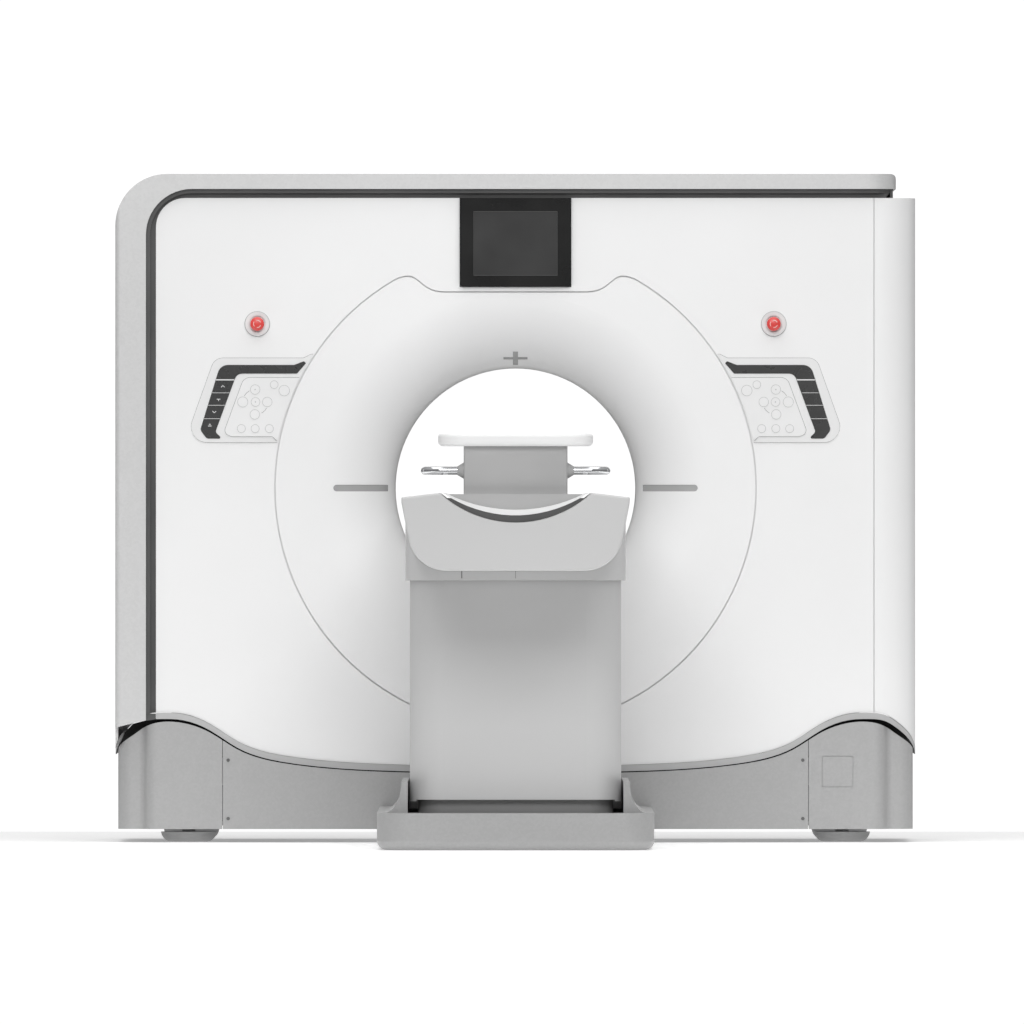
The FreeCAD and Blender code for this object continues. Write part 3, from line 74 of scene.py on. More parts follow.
def linear(hex_colour):
    """An sRGB hex colour as linear RGBA."""
    parts = [int(hex_colour[start:start + 2], 16) / 255 for start in (1, 3, 5)]
    return tuple(part / 12.92 if part <= 0.04045 else ((part + 0.055) / 1.055) ** 2.4 for part in parts) + (1.0,)


def tones(light, dark):
    """Ramp stops for a surface that drifts between two tones; a number makes the dark one a share of the light."""
    light = linear(light) if isinstance(light, str) else (*light, 1.0)
    dark = linear(dark) if isinstance(dark, str) else (*(level * dark for level in light[:3]), 1.0)
    return (0.3, dark), (0.7, light)


def per_mm(size_mm):
    """Pattern scale for a feature of a real size: repeats per metre."""
    return 1.0 / (size_mm * MM)


def add(tree, kind, plugs=None, stops=(), **settings):
    """Add one shader node with its settings; plugs are values, or sockets to link, and stops fill a ramp."""
    made = tree.nodes.new("ShaderNode" + kind)
    for name, value in settings.items():
        setattr(made, name, value)
    for element, (position, colour) in zip(made.color_ramp.elements if stops else (), stops):
        element.position, element.color = position, colour
    for socket, value in (plugs or {}).items():
        if isinstance(value, bpy.types.NodeSocket):
            tree.links.new(value, made.inputs[socket])
        else:
            made.inputs[socket].default_value = value
    return made


def start_material(name):
    """A new empty node material, its tree, and object coordinates in metres."""
    material = bpy.data.materials.new(name)
    material.use_nodes = True
    tree = material.node_tree
    tree.nodes.clear()
    return material, tree, add(tree, "TexCoord").outputs["Object"]


def painted(name, light, dark, roughness, ripple_mm=9.0, ripple=0.04, coat=0.0, edge_mm=0.0):
    """Sprayed paint: a slow drift of tone over a faint orange-peel ripple; edge_mm is how far it rounds the edges."""
    material, tree, place = start_material(name)
    drift = add(tree, "TexNoise", {"Vector": place, "Scale": per_mm(700), "Detail": 2.0})
    tone = add(tree, "ValToRGB", {"Fac": drift.outputs["Fac"]}, tones(light, dark))
    patches = add(tree, "TexNoise", {"Vector": place, "Scale": per_mm(120), "Detail": 3.0})
    dulling = add(tree, "MapRange", {"Value": patches.outputs["Fac"], "To Min": roughness - 0.03,
                                     "To Max": roughness + 0.03})
    peel = add(tree, "TexNoise", {"Vector": place, "Scale": per_mm(ripple_mm), "Detail": 1.0})
    relief = add(tree, "Bump", {"Height": peel.outputs["Fac"], "Distance": 0.4 * MM, "Strength": ripple})
    if edge_mm:
        edge = add(tree, "Bevel", {"Radius": edge_mm * MM}, samples=4)
        tree.links.new(edge.outputs["Normal"], relief.inputs["Normal"])
    shader = add(tree, "BsdfPrincipled", {"Base Color": tone.outputs["Color"], "Roughness": dulling.outputs["Result"],
                                          "Normal": relief.outputs["Normal"], "Coat Weight": coat,
                                          "Coat Roughness": 0.12})
    add(tree, "OutputMaterial", {"Surface": shader.outputs["BSDF"]})
    return material


def flake_painted(name, light, dark, roughness, metallic, flake_mm=6.0):
    """Silver paint: bright flakes in a satin binder.  Real flakes are under 0.1 mm, drawn 6 mm coarse to show."""
    material, tree, place = start_material(name)
    cells = add(tree, "TexVoronoi", {"Vector": place, "Scale": per_mm(flake_mm)})
    sparkle = add(tree, "SeparateColor", {"Color": cells.outputs["Color"]}).outputs[0]
    drift = add(tree, "TexNoise", {"Vector": place, "Scale": per_mm(500), "Detail": 2.0})
    both = add(tree, "Math", {0: sparkle, 1: drift.outputs["Fac"]}, operation="ADD")
    half = add(tree, "Math", {0: both.outputs[0], 1: 0.5}, operation="MULTIPLY")
    tone = add(tree, "ValToRGB", {"Fac": half.outputs[0]}, tones(light, dark))
    glints = add(tree, "MapRange", {"Value": sparkle, "To Min": roughness - 0.05, "To Max": roughness + 0.05})
    peel = add(tree, "TexNoise", {"Vector": place, "Scale": per_mm(10), "Detail": 1.0})
    relief = add(tree, "Bump", {"Height": peel.outputs["Fac"], "Distance": 0.3 * MM, "Strength": 0.03})
    shader = add(tree, "BsdfPrincipled", {"Base Color": tone.outputs["Color"], "Roughness": glints.outputs["Result"],
                                          "Normal": relief.outputs["Normal"], "Metallic": metallic})
    add(tree, "OutputMaterial", {"Surface": shader.outputs["BSDF"]})
    return material


def moulded(name, light, dark, roughness, grain_mm=3.0, grain=0.15, ior=1.5):
    """Injection-moulded plastic with a spark-eroded grain; the real grain is 0.3 mm, drawn coarser to show."""
    material, tree, place = start_material(name)
    drift = add(tree, "TexNoise", {"Vector": place, "Scale": per_mm(200), "Detail": 2.0})
    tone = add(tree, "ValToRGB", {"Fac": drift.outputs["Fac"]}, tones(light, dark))
    handling = add(tree, "TexNoise", {"Vector": place, "Scale": per_mm(60), "Detail": 3.0})
    dulling = add(tree, "MapRange", {"Value": handling.outputs["Fac"], "To Min": roughness - 0.04,
                                     "To Max": roughness + 0.04})
    texture = add(tree, "TexNoise", {"Vector": place, "Scale": per_mm(grain_mm), "Detail": 4.0})
    relief = add(tree, "Bump", {"Height": texture.outputs["Fac"], "Distance": 0.15 * MM, "Strength": grain})
    shader = add(tree, "BsdfPrincipled", {"Base Color": tone.outputs["Color"], "Roughness": dulling.outputs["Result"],
                                          "Normal": relief.outputs["Normal"], "IOR": ior})
    add(tree, "OutputMaterial", {"Surface": shader.outputs["BSDF"]})
    return material


def machined(name, light, dark, roughness, along):
    """Ground or turned metal: cutter lines that spread the highlight across them.  Real lines are 0.05 mm apart,
    drawn at 0.6 mm; along is how much finer they run on each axis."""
    material, tree, place = start_material(name)
    run = add(tree, "Mapping", {"Vector": place, "Scale": along})
    lines = add(tree, "TexNoise", {"Vector": run.outputs["Vector"], "Scale": per_mm(0.6), "Detail": 3.0})
    tone = add(tree, "ValToRGB", {"Fac": lines.outputs["Fac"]}, tones(light, dark))
    dulling = add(tree, "MapRange", {"Value": lines.outputs["Fac"], "To Min": roughness - 0.07,
                                     "To Max": roughness + 0.07})
    relief = add(tree, "Bump", {"Height": lines.outputs["Fac"], "Distance": 0.05 * MM, "Strength": 0.2})
    shader = add(tree, "BsdfPrincipled", {"Base Color": tone.outputs["Color"], "Roughness": dulling.outputs["Result"],
                                          "Normal": relief.outputs["Normal"], "Metallic": 1.0})
    add(tree, "OutputMaterial", {"Surface": shader.outputs["BSDF"]})
    return material


def plated(name, colour, roughness):
    """Chrome plate over polished steel: sharp reflections with a trace of haze from wiping."""
    material, tree, place = start_material(name)
    wiping = add(tree, "TexNoise", {"Vector": place, "Scale": per_mm(25), "Detail": 4.0})
    haze = add(tree, "MapRange", {"Value": wiping.outputs["Fac"], "To Min": roughness, "To Max": roughness + 0.06})
    shader = add(tree, "BsdfPrincipled", {"Base Color": linear(colour), "Roughness": haze.outputs["Result"],
                                          "Metallic": 1.0})
    add(tree, "OutputMaterial", {"Surface": shader.outputs["BSDF"]})
    return material


def cast_sheet(name, light, dark, roughness):
    """Cast acrylic or glass sheet: deep colour under a sharp clear surface with faint finger haze."""
    material, tree, place = start_material(name)
    drift = add(tree, "TexNoise", {"Vector": place, "Scale": per_mm(150), "Detail": 2.0})
    tone = add(tree, "ValToRGB", {"Fac": drift.outputs["Fac"]}, tones(light, dark))
    fingers = add(tree, "TexNoise", {"Vector": place, "Scale": per_mm(40), "Detail": 4.0})
    haze = add(tree, "MapRange", {"Value": fingers.outputs["Fac"], "To Min": roughness, "To Max": roughness + 0.05})
    shader = add(tree, "BsdfPrincipled", {"Base Color": tone.outputs["Color"], "Roughness": haze.outputs["Result"],
                                          "IOR": 1.49})
    add(tree, "OutputMaterial", {"Surface": shader.outputs["BSDF"]})
    return material


def embossed(name, light, dark, roughness):
    """Embossed upholstery vinyl: dull creases between shinier pebbles.  The real pebbles are 1 mm, drawn 4 mm."""
    material, tree, place = start_material(name)
    pebbles = add(tree, "TexVoronoi", {"Vector": place, "Scale": per_mm(4.0)}, feature="DISTANCE_TO_EDGE")
    drift = add(tree, "TexNoise", {"Vector": place, "Scale": per_mm(90), "Detail": 3.0})
    tone = add(tree, "ValToRGB", {"Fac": drift.outputs["Fac"]}, tones(light, dark))
    creases = add(tree, "MapRange", {"Value": pebbles.outputs["Distance"], "To Min": roughness + 0.08,
                                     "To Max": roughness - 0.05})
    relief = add(tree, "Bump", {"Height": pebbles.outputs["Distance"], "Distance": 0.6 * MM, "Strength": 0.5})
    shader = add(tree, "BsdfPrincipled", {"Base Color": tone.outputs["Color"], "Roughness": creases.outputs["Result"],
                                          "Normal": relief.outputs["Normal"], "Sheen Weight": 0.15})
    add(tree, "OutputMaterial", {"Surface": shader.outputs["BSDF"]})
    return material


def ribbed(name, light, dark):
    """Belt rubber: dull and dusty, with ribs 12 mm apart round the belt."""
    material, tree, place = start_material(name)
    dust = add(tree, "TexNoise", {"Vector": place, "Scale": per_mm(30), "Detail": 3.0})
    tone = add(tree, "ValToRGB", {"Fac": dust.outputs["Fac"]}, tones(light, dark))
    ribs = add(tree, "TexWave", {"Vector": place, "Scale": per_mm(12.0), "Distortion": 0.0}, bands_direction="Y")
    relief = add(tree, "Bump", {"Height": ribs.outputs["Fac"], "Distance": 0.6 * MM, "Strength": 0.6})
    shader = add(tree, "BsdfPrincipled", {"Base Color": tone.outputs["Color"], "Roughness": 0.72,
                                          "Normal": relief.outputs["Normal"]})
    add(tree, "OutputMaterial", {"Surface": shader.outputs["BSDF"]})
    return material


def stretched_film(name, light, dark):
    """Polyester film pulled over the scan slot: satin, a little light passes in, and it waves slightly."""
    material, tree, place = start_material(name)
    drift = add(tree, "TexNoise", {"Vector": place, "Scale": per_mm(80), "Detail": 2.0})
    tone = add(tree, "ValToRGB", {"Fac": drift.outputs["Fac"]}, tones(light, dark))
    waves = add(tree, "TexNoise", {"Vector": place, "Scale": per_mm(30), "Detail": 2.0})
    relief = add(tree, "Bump", {"Height": waves.outputs["Fac"], "Distance": 0.3 * MM, "Strength": 0.08})
    shader = add(tree, "BsdfPrincipled", {"Base Color": tone.outputs["Color"], "Roughness": 0.28,
                                          "Normal": relief.outputs["Normal"], "Subsurface Weight": 0.1})
    add(tree, "OutputMaterial", {"Surface": shader.outputs["BSDF"]})
    return material


def printed(name, colour):
    """Screen-printed ink and thin lines, some of them painted shade: one flat colour, dull and slightly uneven from
    the mesh.
    """
    material, tree, place = start_material(name)
    mesh_marks = add(tree, "TexNoise", {"Vector": place, "Scale": per_mm(4), "Detail": 3.0})
    dulling = add(tree, "MapRange", {"Value": mesh_marks.outputs["Fac"], "To Min": 0.45, "To Max": 0.6})
    shader = add(tree, "BsdfPrincipled", {"Base Color": linear(colour), "Roughness": dulling.outputs["Result"]})
    add(tree, "OutputMaterial", {"Surface": shader.outputs["BSDF"]})
    return material


FINISHES = {
    # satin white of the big covers, with a thin clear coat that carries a soft highlight
    "cover_white": lambda look: painted("White acrylic paint on moulded glass-fibre cover", look.cover, 0.9541, 0.42,
                                        coat=0.1),
    # the hood's silver is pale and barely metallic, so it reads as grey in a white room
    "hood_silver": lambda look: flake_painted("Pale silver paint on moulded hood", look.hood, 0.9575, 0.42, 0.15),
    # painted shade: the channel under the hood's edge is coloured dark grey for the shade that falls there, and is
    # dull
    "shadow_grey": lambda look: moulded("Dark grey channel painted as shade under the hood", "#545454", "#4a4a4a", 0.55),
    # the skirts' silver is darker and more metallic than the hood's
    "skirt_silver": lambda look: flake_painted("Silver-grey paint on steel skirt", look.skirt, 0.9508, 0.40, 0.3),
    # soft grey band that catches a dull line of light along the wave
    "trim_grey": lambda look: moulded("Grey ABS trim band", "#bababa", "#b2b2b2", 0.45),
    # small turned heads that glint from every side
    "screw_steel": lambda look: machined("Plain steel screw head", "#808080", "#6a6a6a", 0.4, (1, 1, 1)),
    # thicker enamel with a coarser ripple from the casting below
    "foot_grey": lambda look: painted("Grey enamel on cast foot", "#bababa", "#b0b0b0", 0.45, 4.0, 0.1),
    # nearly black and glossy, so it mirrors the room
    "display_black": lambda look: cast_sheet("Black acrylic display face", "#262626", "#1c1c1c", 0.12),
    # an unlit screen is dark grey, not black, under the glossiest surface here
    "screen_glass": lambda look: cast_sheet("Unlit screen under glass", "#444444", "#3a3a3a", 0.08),
    # smoked windows read as mid-grey lines in the white cover
    "laser_grey": lambda look: cast_sheet("Smoked acrylic laser window", "#b2b2b2", "#a6a6a6", 0.2),
    # warm off-white ring inside the bore
    "window_film": lambda look: stretched_film("Polyester scan window film", "#d8d6cc", "#c9c6bb"),
    # a shade greyer and glossier than the cover, so that the panel stands out
    "bezel_white": lambda look: painted("White painted control bezel", "#ececec", "#e6e6e6", 0.38, 5.0, 0.03),
    # dark strip with a wide soft highlight
    "touch_dark": lambda look: cast_sheet("Dark grey printed acrylic strip", "#424242", "#3a3a3a", 0.25),
    # matt soft-touch film
    "key_white": lambda look: moulded("White silicone-coated keypad film", "#eeeeee", "#eaeaea", 0.5, 2.0, 0.05,
                                      1.41),
    # pale ring that sets off the red cap
    "collar_grey": lambda look: moulded("Pale grey ABS collar", "#e6e6e6", "#e0e0e0", 0.4),
    # saturated and glossy, as polycarbonate of a high index is
    "stop_red": lambda look: moulded("Red polycarbonate cap", "#e24c48", "#d8433f", 0.28, 2.0, 0.03, 1.58),
    # flat, dusty primer inside the machine
    "frame_steel": lambda look: painted("Grey primer on welded steel", "#5e6164", "#54575a", 0.6, 6.0, 0.12),
    # milling lines across the plate
    "plate_aluminium": lambda look: machined("Milled aluminium plate", "#d2d3d6", "#c4c5c8", 0.38, (1, 8, 8)),
    # grinding lines round the ring, brighter than the plate
    "bearing_steel": lambda look: machined("Ground bearing steel", "#bcbdbf", "#a8a9ab", 0.3, (1, 14, 1)),
    # mirror-bright rods and loops
    "guide_chrome": lambda look: plated("Chrome plate", "#e2e3e5", 0.07),
    # satin cases of the rotor's units
    "unit_grey": lambda look: painted("Grey enamel on unit case", "#9a9da0", "#8e9194", 0.4, 6.0, 0.08),
    # glass fibres make the nylon dull
    "unit_black": lambda look: moulded("Black glass-filled nylon", "#242424", "#1a1a1a", 0.55),
    # yellow tracks with turning lines
    "ring_brass": lambda look: machined("Turned brass ring tracks", "#c7a45c", "#b08d4a", 0.28, (1, 20, 1)),
    # dull black with ribs
    "belt_rubber": lambda look: ribbed("Ribbed belt rubber", "#1c1c1c", "#0d0d0d"),
    # the plinth's silver is the darkest, since feet and trolleys reach it
    "plinth_silver": lambda look: flake_painted("Silver-grey paint on cast plinth", look.plinth, 0.9492, 0.38, 0.3),
    # powder coat has a coarser peel than sprayed paint
    "inner_grey": lambda look: painted("Grey powder coat on inner box", "#949494", "#8a8a8a", 0.5, 3.0, 0.2),
    # waxy cream of unfilled nylon
    "glide_nylon": lambda look: moulded("Natural nylon glide", "#e0dccf", "#d6d2c4", 0.45),
    # painted shade: the shroud is painted greyer than the covers, standing in for the shade from the table above it
    "shroud_white": lambda look: painted("White powder coat on steel shroud, greyed as painted shade", look.shroud, 0.9553, 0.45, 4.0, 0.05),
    # thick paint on the table's shell, which rounds its edges into soft lines of light
    "table_pale": lambda look: painted("Pale grey paint on table shell", look.table, 0.9569, 0.36, coat=0.1,
                                       edge_mm=7.0),
    # dark lining under the cradle
    "rail_dark": lambda look: moulded("Dark grey rail lining", "#5a5a5a", "#505050", 0.5),
    # glossy gel coat over the carbon layers, with long shallow waves
    "cradle_white": lambda look: painted("White gel coat on carbon cradle", look.cradle, 0.9536, 0.3, 12.0, 0.03),
    # soft grey with a broken highlight
    "mattress_vinyl": lambda look: embossed("Grey upholstery vinyl", look.mattress, 0.9264, 0.45),
    # foam moulding is duller and coarser than solid plastic
    "grip_grey": lambda look: moulded("Grey structural foam moulding", "#b8b8b8", "#b0b0b0", 0.42),
    # the whitest surface, with rounded paint edges
    "rest_white": lambda look: painted("White polyurethane rest plate", "#f6f6f6", "#f2f2f2", 0.4, 6.0, 0.04,
                                       edge_mm=4.0),
}
MATERIALS = {}


def finish(slot):
    """The material of a record slot, made once."""
    if slot not in MATERIALS:
        MATERIALS[slot] = FINISHES[slot](bpy.context.scene.scanner_colours)
    return MATERIALS[slot]


# ---------------------------------------------------------------- meshes

def new_piece(name, build, material, body, smooth=False):
    """A mesh piece made by a function that fills a bmesh, riding on a body."""
    mesh = bpy.data.meshes.new(name)
    shape = bmesh.new()
    build(shape)
    bmesh.ops.remove_doubles(shape, verts=shape.verts, dist=1e-6)
    bmesh.ops.recalc_face_normals(shape, faces=shape.faces)
    shape.to_mesh(mesh)
    shape.free()
    piece = bpy.data.objects.new(name, mesh)
    bpy.context.scene.collection.objects.link(piece)
    mesh.materials.append(material)
    for face in mesh.polygons:
        face.use_smooth = smooth
    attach(piece, body)
    return piece


def loft(shape, sections, closed=False):
    """Skin a row of equal sections of points, joined end to end or capped at both ends."""
    rows = [[shape.verts.new(point) for point in section] for section in sections]
    for first, second in zip(rows, rows[1:] + ([rows[0]] if closed else [])):
        for index in range(len(first)):
            after = (index + 1) % len(first)
            shape.faces.new((first[index], first[after], second[after], second[index]))
    if not closed:
        shape.faces.new(rows[0])
        shape.faces.new(rows[-1])


def neighbours(path, index, closed):
    """The points before and after one point of a path."""
    before = path[index - 1] if index or closed else path[index]
    after = path[(index + 1) % len(path)] if index < len(path) - 1 or closed else path[index]
    return before, after


def bead(shape, path, radius, sides=10):
    """A round bead along a closed path of points."""
    path = [Vector(point) for point in path]
    sections = []
    for index, point in enumerate(path):
        before, after = neighbours(path, index, True)
        along = (after - before).normalized()
        side = along.cross(Vector((0, 1, 0))).normalized()
        up = side.cross(along)
        sections.append([point + radius * (math.cos(turn) * side + math.sin(turn) * up)
                         for turn in (2 * math.pi * step / sides for step in range(sides))])
    loft(shape, sections, closed=True)


def flat_band(shape, path, width, front_y, thick, closed=False):
    """A thin printed or moulded strip facing the front, along a path of (x, z) points."""
    sections = []
    for index, (x, z) in enumerate(path):
        before, after = neighbours(path, index, closed)
        along = Vector((after[0] - before[0], after[1] - before[1])).normalized()
        off = Vector((-along.y, along.x)) * width / 2
        sections.append([(x + off.x, front_y, z + off.y), (x - off.x, front_y, z - off.y),
                         (x - off.x, front_y + thick, z - off.y), (x + off.x, front_y + thick, z + off.y)])
    loft(shape, sections, closed)


def circle_path(x, z, radius, start=0.0, end=360.0, steps=48):
    """Points of an arc in the front plane, anticlockwise from the right, in metres."""
    turns = [math.radians(start + (end - start) * step / steps) for step in range(steps + 1)]
    return [(x + radius * math.cos(turn), z + radius * math.sin(turn)) for turn in turns]


def rounded_path(corners, steps=8):
    """Points (x, z) in metres along straight runs whose corners (x, z, radius) in millimetres are rounded."""
    points = []
    for index, (x, z, radius) in enumerate(corners):
        here = Vector((x, z)) * MM
        if index in (0, len(corners) - 1) or not radius:
            points.append(tuple(here))
            continue
        into = (Vector(corners[index - 1][:2]) * MM - here).normalized()
        out = (Vector(corners[index + 1][:2]) * MM - here).normalized()
        half_angle = into.angle(out) / 2
        reach = radius * MM / math.tan(half_angle)
        middle = here + (into + out).normalized() * radius * MM / math.sin(half_angle)
        first, last = here + into * reach - middle, here + out * reach - middle
        for step in range(steps + 1):
            share = step / steps
            spoke = (first * (1 - share) + last * share).normalized() * radius * MM
            points.append(tuple(middle + spoke))
    return points


def mirrored_path(path, side):
    """The path for the left (-1) or, mirrored, for the right (1)."""
    return [(-side * x, z) for x, z in path]


def section_of(node, y, spacing=0.008):
    """The closed outline (x, z) of a prismatic node at one end, as dense points in order."""
    mesh = NODES[node].data
    ends = {vert.index for vert in mesh.vertices if abs(vert.co.y - y) < SAME_PLACE}
    seen, points = set(), []
    for index in ends:
        key = (round(mesh.vertices[index].co.x, 5), round(mesh.vertices[index].co.z, 5))
        if key not in seen:
            seen.add(key)
            points.append(key)
    if len(points) < 4:
        raise RuntimeError("node %s has no flat end at %g" % (node, y))
    # the dish curves up at its sides, so the points are sorted round a centre just under the top
    centre = (sum(point[0] for point in points) / len(points), max(point[1] for point in points) - 0.002)
    points.sort(key=lambda point: math.atan2(point[1] - centre[1], point[0] - centre[0]))
    dense = []
    for first, second in zip(points, points[1:] + points[:1]):
        steps = max(1, int(math.dist(first, second) / spacing))
        dense += [(first[0] + (second[0] - first[0]) * step / steps, first[1] + (second[1] - first[1]) * step / steps)
                  for step in range(steps)]
    return dense


# ---------------------------------------------------------------- settings

def colour(name, description, hex_colour):
    """A colour that a user may change, given as its sRGB hex default."""
    return bpy.props.FloatVectorProperty(name=name, description=description, subtype="COLOR", size=3, min=0.0,
                                         max=1.0, default=linear(hex_colour)[:3])


class ScannerColours(bpy.types.PropertyGroup):
    """The colours of the painted and upholstered surfaces; each is the lighter of its surface's two tones."""
    cover: colour("Covers", "Paint of the front, side and funnel covers", "#f4f4f4")
    hood: colour("Hood", "Paint of the hood over the left side and the top", "#d1d1d1")
    skirt: colour("Skirts", "Paint of the skirts under the covers", "#b2b2b2")
    plinth: colour("Plinth", "Paint of the table's plinth", "#acacac")
    # the shroud's default grey is painted shade from the table above it
    shroud: colour("Shroud", "Powder coat of the table's lifting shroud, greyed as painted shade", "#c6c6c6")
    table: colour("Table shell", "Paint of the table's body and end cap", "#cecece")
    cradle: colour("Cradle", "Gel coat of the sliding cradle", "#f1f1f1")
    mattress: colour("Mattress", "Vinyl of the mattress", "#b0b1b3")


class ScannerMattress(bpy.types.PropertyGroup):
    """The padded mattress."""
    corner: bpy.props.FloatProperty(name="Corner", description="Roundness of the upper edges", default=0.012,
                                    unit="LENGTH", min=0.001)
    dimple: bpy.props.FloatProperty(name="Seam depth", description="How far each seam pulls the vinyl down",
                                    default=0.004, unit="LENGTH", min=0.0)
    panels: bpy.props.IntProperty(name="Panels", description="Number of upholstered panels", default=4, min=1)


class ScannerControls(bpy.types.PropertyGroup):
    """Lines and marks on the control panels."""
    line: bpy.props.FloatProperty(name="Line", description="Width of the printed outlines", default=0.0013,
                                  unit="LENGTH", min=0.0001)
    ink: bpy.props.FloatProperty(name="Ink", description="Thickness of printed marks", default=0.0002,
                                 unit="LENGTH", min=0.00005)
    marks: bpy.props.BoolProperty(name="Marks", description="Small generic marks beside the left keypad",
                                  default=True)


class ScannerStudio(bpy.types.PropertyGroup):
    """The light, the floor and the camera."""
    lens: bpy.props.FloatProperty(name="Lens", description="Focal length of the long front lens, in millimetres",
                                  default=1000.0, min=50.0, max=1400.0)
    sky: bpy.props.FloatProperty(name="Ceiling", description="Brightness of the white room overhead", default=0.55,
                                 min=0.0, max=3.0)
    horizon: bpy.props.FloatProperty(name="Walls", description="Brightness of the white room at eye level",
                                     default=0.16, min=0.0, max=3.0)
    backdrop: bpy.props.FloatProperty(name="Backdrop", description="Brightness of the backdrop behind the machine",
                                      default=1.05, min=0.0, max=3.0)
    top_light: bpy.props.FloatProperty(name="Top light", description="Power of the large overhead softbox",
                                       default=120.0, unit="POWER", min=0.0)
    front_light: bpy.props.FloatProperty(name="Front light", description="Power of the large frontal softbox",
                                         default=300.0, unit="POWER", min=0.0)
    side_light: bpy.props.FloatProperty(name="Side lights", description="Power of each tall strip light at the sides",
                                        default=4.0, unit="POWER", min=0.0)
    floor_size: bpy.props.FloatProperty(name="Floor", description="Side of the square floor", default=7.0,
                                        unit="LENGTH", min=1.0)


# ---------------------------------------------------------------- operators

class SCANNER_OT_finishes(bpy.types.Operator):
    """Give every CAD piece the finish of its material slot"""
    bl_idname = "scanner.finishes"
    bl_label = "Finishes"

    def execute(self, context):
        for entry in frame["record"]["subparts"]:
            piece = NODES[entry["node"]]
            piece.data.materials.clear()
            piece.data.materials.append(finish(entry["material_slot"]))
        return {"FINISHED"}


# upholstery, in metres: the air left round the pad, the drop of its upper face, the half-width of a seam, and how
# far the pad draws in and, as a share of its corner, drops at its two ends
PAD_GAP, PAD_DROP, SEAM_REACH = 0.0006, 0.0005, 0.006
END_DRAW, END_DROP = 0.006, 0.6
# shares of the corner by which the sides draw in and the upper face falls, and how late that fall begins
SIDE_DRAW, CROWN_DROP, CROWN_POWER = 0.35, 0.5, 8
PAD_ROWS = 240


class SCANNER_OT_mattress(bpy.types.Operator):
    """Make the upholstered mattress that lies in the cradle's dish"""
    bl_idname = "scanner.mattress"
    bl_label = "Mattress"

    def execute(self, context):
        settings = context.scene.scanner_mattress
        corner = settings.corner
        low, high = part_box("mattress")
        outline = section_of("mattress", low[1])
        middle, top, length = (low[0] + high[0]) / 2, high[2], high[1] - low[1]
        half = high[0] - middle

        def row(y, shrink, sink):
            """One section: the sides draw in near the top, and the upper face falls away towards its edges."""
            points = []
            for x, z in outline:
                near_top = min(1.0, max(0.0, (top - z) / corner))
                round_in = corner * (1 - math.sqrt(max(0.0, 1 - (1 - near_top) ** 2)))
                reach = (x - middle) * (1 - (PAD_GAP + shrink + round_in * SIDE_DRAW) / half)
                crown = CROWN_DROP * corner * (abs(reach) / half) ** CROWN_POWER
                height = z + PAD_GAP if z < top - SAME_PLACE else top - sink - PAD_DROP - crown
                points.append((middle + reach, y, max(height, low[2] + PAD_GAP)))
            return points

        def pad(shape):
            rows = []
            for step in range(PAD_ROWS + 1):
                y = low[1] + PAD_GAP + (length - 2 * PAD_GAP) * step / PAD_ROWS
                run = (step / PAD_ROWS * settings.panels) % 1.0
                from_seam = min(run, 1 - run) * length / settings.panels
                seam = settings.dimple * math.exp(-(from_seam / SEAM_REACH) ** 2) if 0 < step < PAD_ROWS else 0.0
                at_end = max(0.0, 1 - min(y - low[1], high[1] - y) / corner) ** 2
                rows.append(row(y, END_DRAW * at_end, max(seam, END_DROP * corner * at_end)))
            loft(shape, rows)

        piece = new_piece("mattress_pad", pad, finish("mattress_vinyl"), "cradle_body", smooth=True)
        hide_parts("mattress")
        return {"FINISHED"}


# left control panel, millimetres across from the middle and above the floor; the right one is its mirror image
BEZEL = ((-585, 1411, 0), (-591, 1411, 10), (-613, 1400, 12), (-870, 1400, 34), (-957, 1156, 46), (-689, 1156, 0))
BEZEL_LINE = 1.5    # the grey line of painted shade round the bezel is this much wider than the printed lines
KEYPAD = ((-625, 1344, 0), (-785.5, 1344, 26), (-845, 1182, 16), (-821.5, 1173, 14), (-703, 1173, 12),
          (-691, 1160, 0))
# keys: x, z and radius; the numbers below pick those with a dot, and the one inside the two long arcs
KEYS = ((-698, 1323, 12), (-669, 1306, 16), (-753, 1309, 14.5), (-789, 1273, 15.5), (-752, 1273, 13.4),
        (-718, 1273, 14.5), (-754, 1237, 14.5), (-793, 1196, 12.4), (-753, 1196, 12.4), (-712, 1196, 12.4))
DOTTED_KEYS, CROSS_KEY = (2, 4), 4
KEY_INSET, DOT_RADIUS, DOT_LINE = 0.7, 1.0, 1.9
# the two arcs round the cross of keys: radius, the angles where they start, and how far each turns
ARC_RADIUS, ARC_STARTS, ARC_TURN = 36.5, (118, 298), 34
# bars across the dark strip: height and thickness; they stop short of its edges by the inset
SEPARATORS, BAR_INSET = ((1337.0, 3.2), (1299.5, 1.2), (1263.4, 1.2), (1224.6, 1.2)), 1
MARK_HEIGHTS, MARK_SIZE, MARK_LINE = (1318, 1281, 1244, 1206), 5.0, 2.0


def strip_edges(height):
    """Outer and inner x of the dark strip's leaning leg at a height, in millimetres."""
    return -854 - 0.3085 * (1380 - height), -806 - 0.367 * (1355 - height)


def mark_on_strip(shape, x, z, number, front_y, ink):
    """A small plain mark: chevrons up or down, or a bar with a foot."""
    size = MARK_SIZE * MM
    half = size / 2
    paths = (([(x - size, z - half), (x, z + half), (x + size, z - half)], ),
             ([(x - size, z), (x + size, z)], [(x, z - size), (x, z)]),
             ([(x - size, z + half), (x, z - half), (x + size, z + half)], ),
             ([(x - size, z - half), (x + size, z - half)], [(x - half, z + half), (x + half, z + half)]))
    for path in paths[number]:
        flat_band(shape, path, MARK_LINE * MM, front_y, ink)


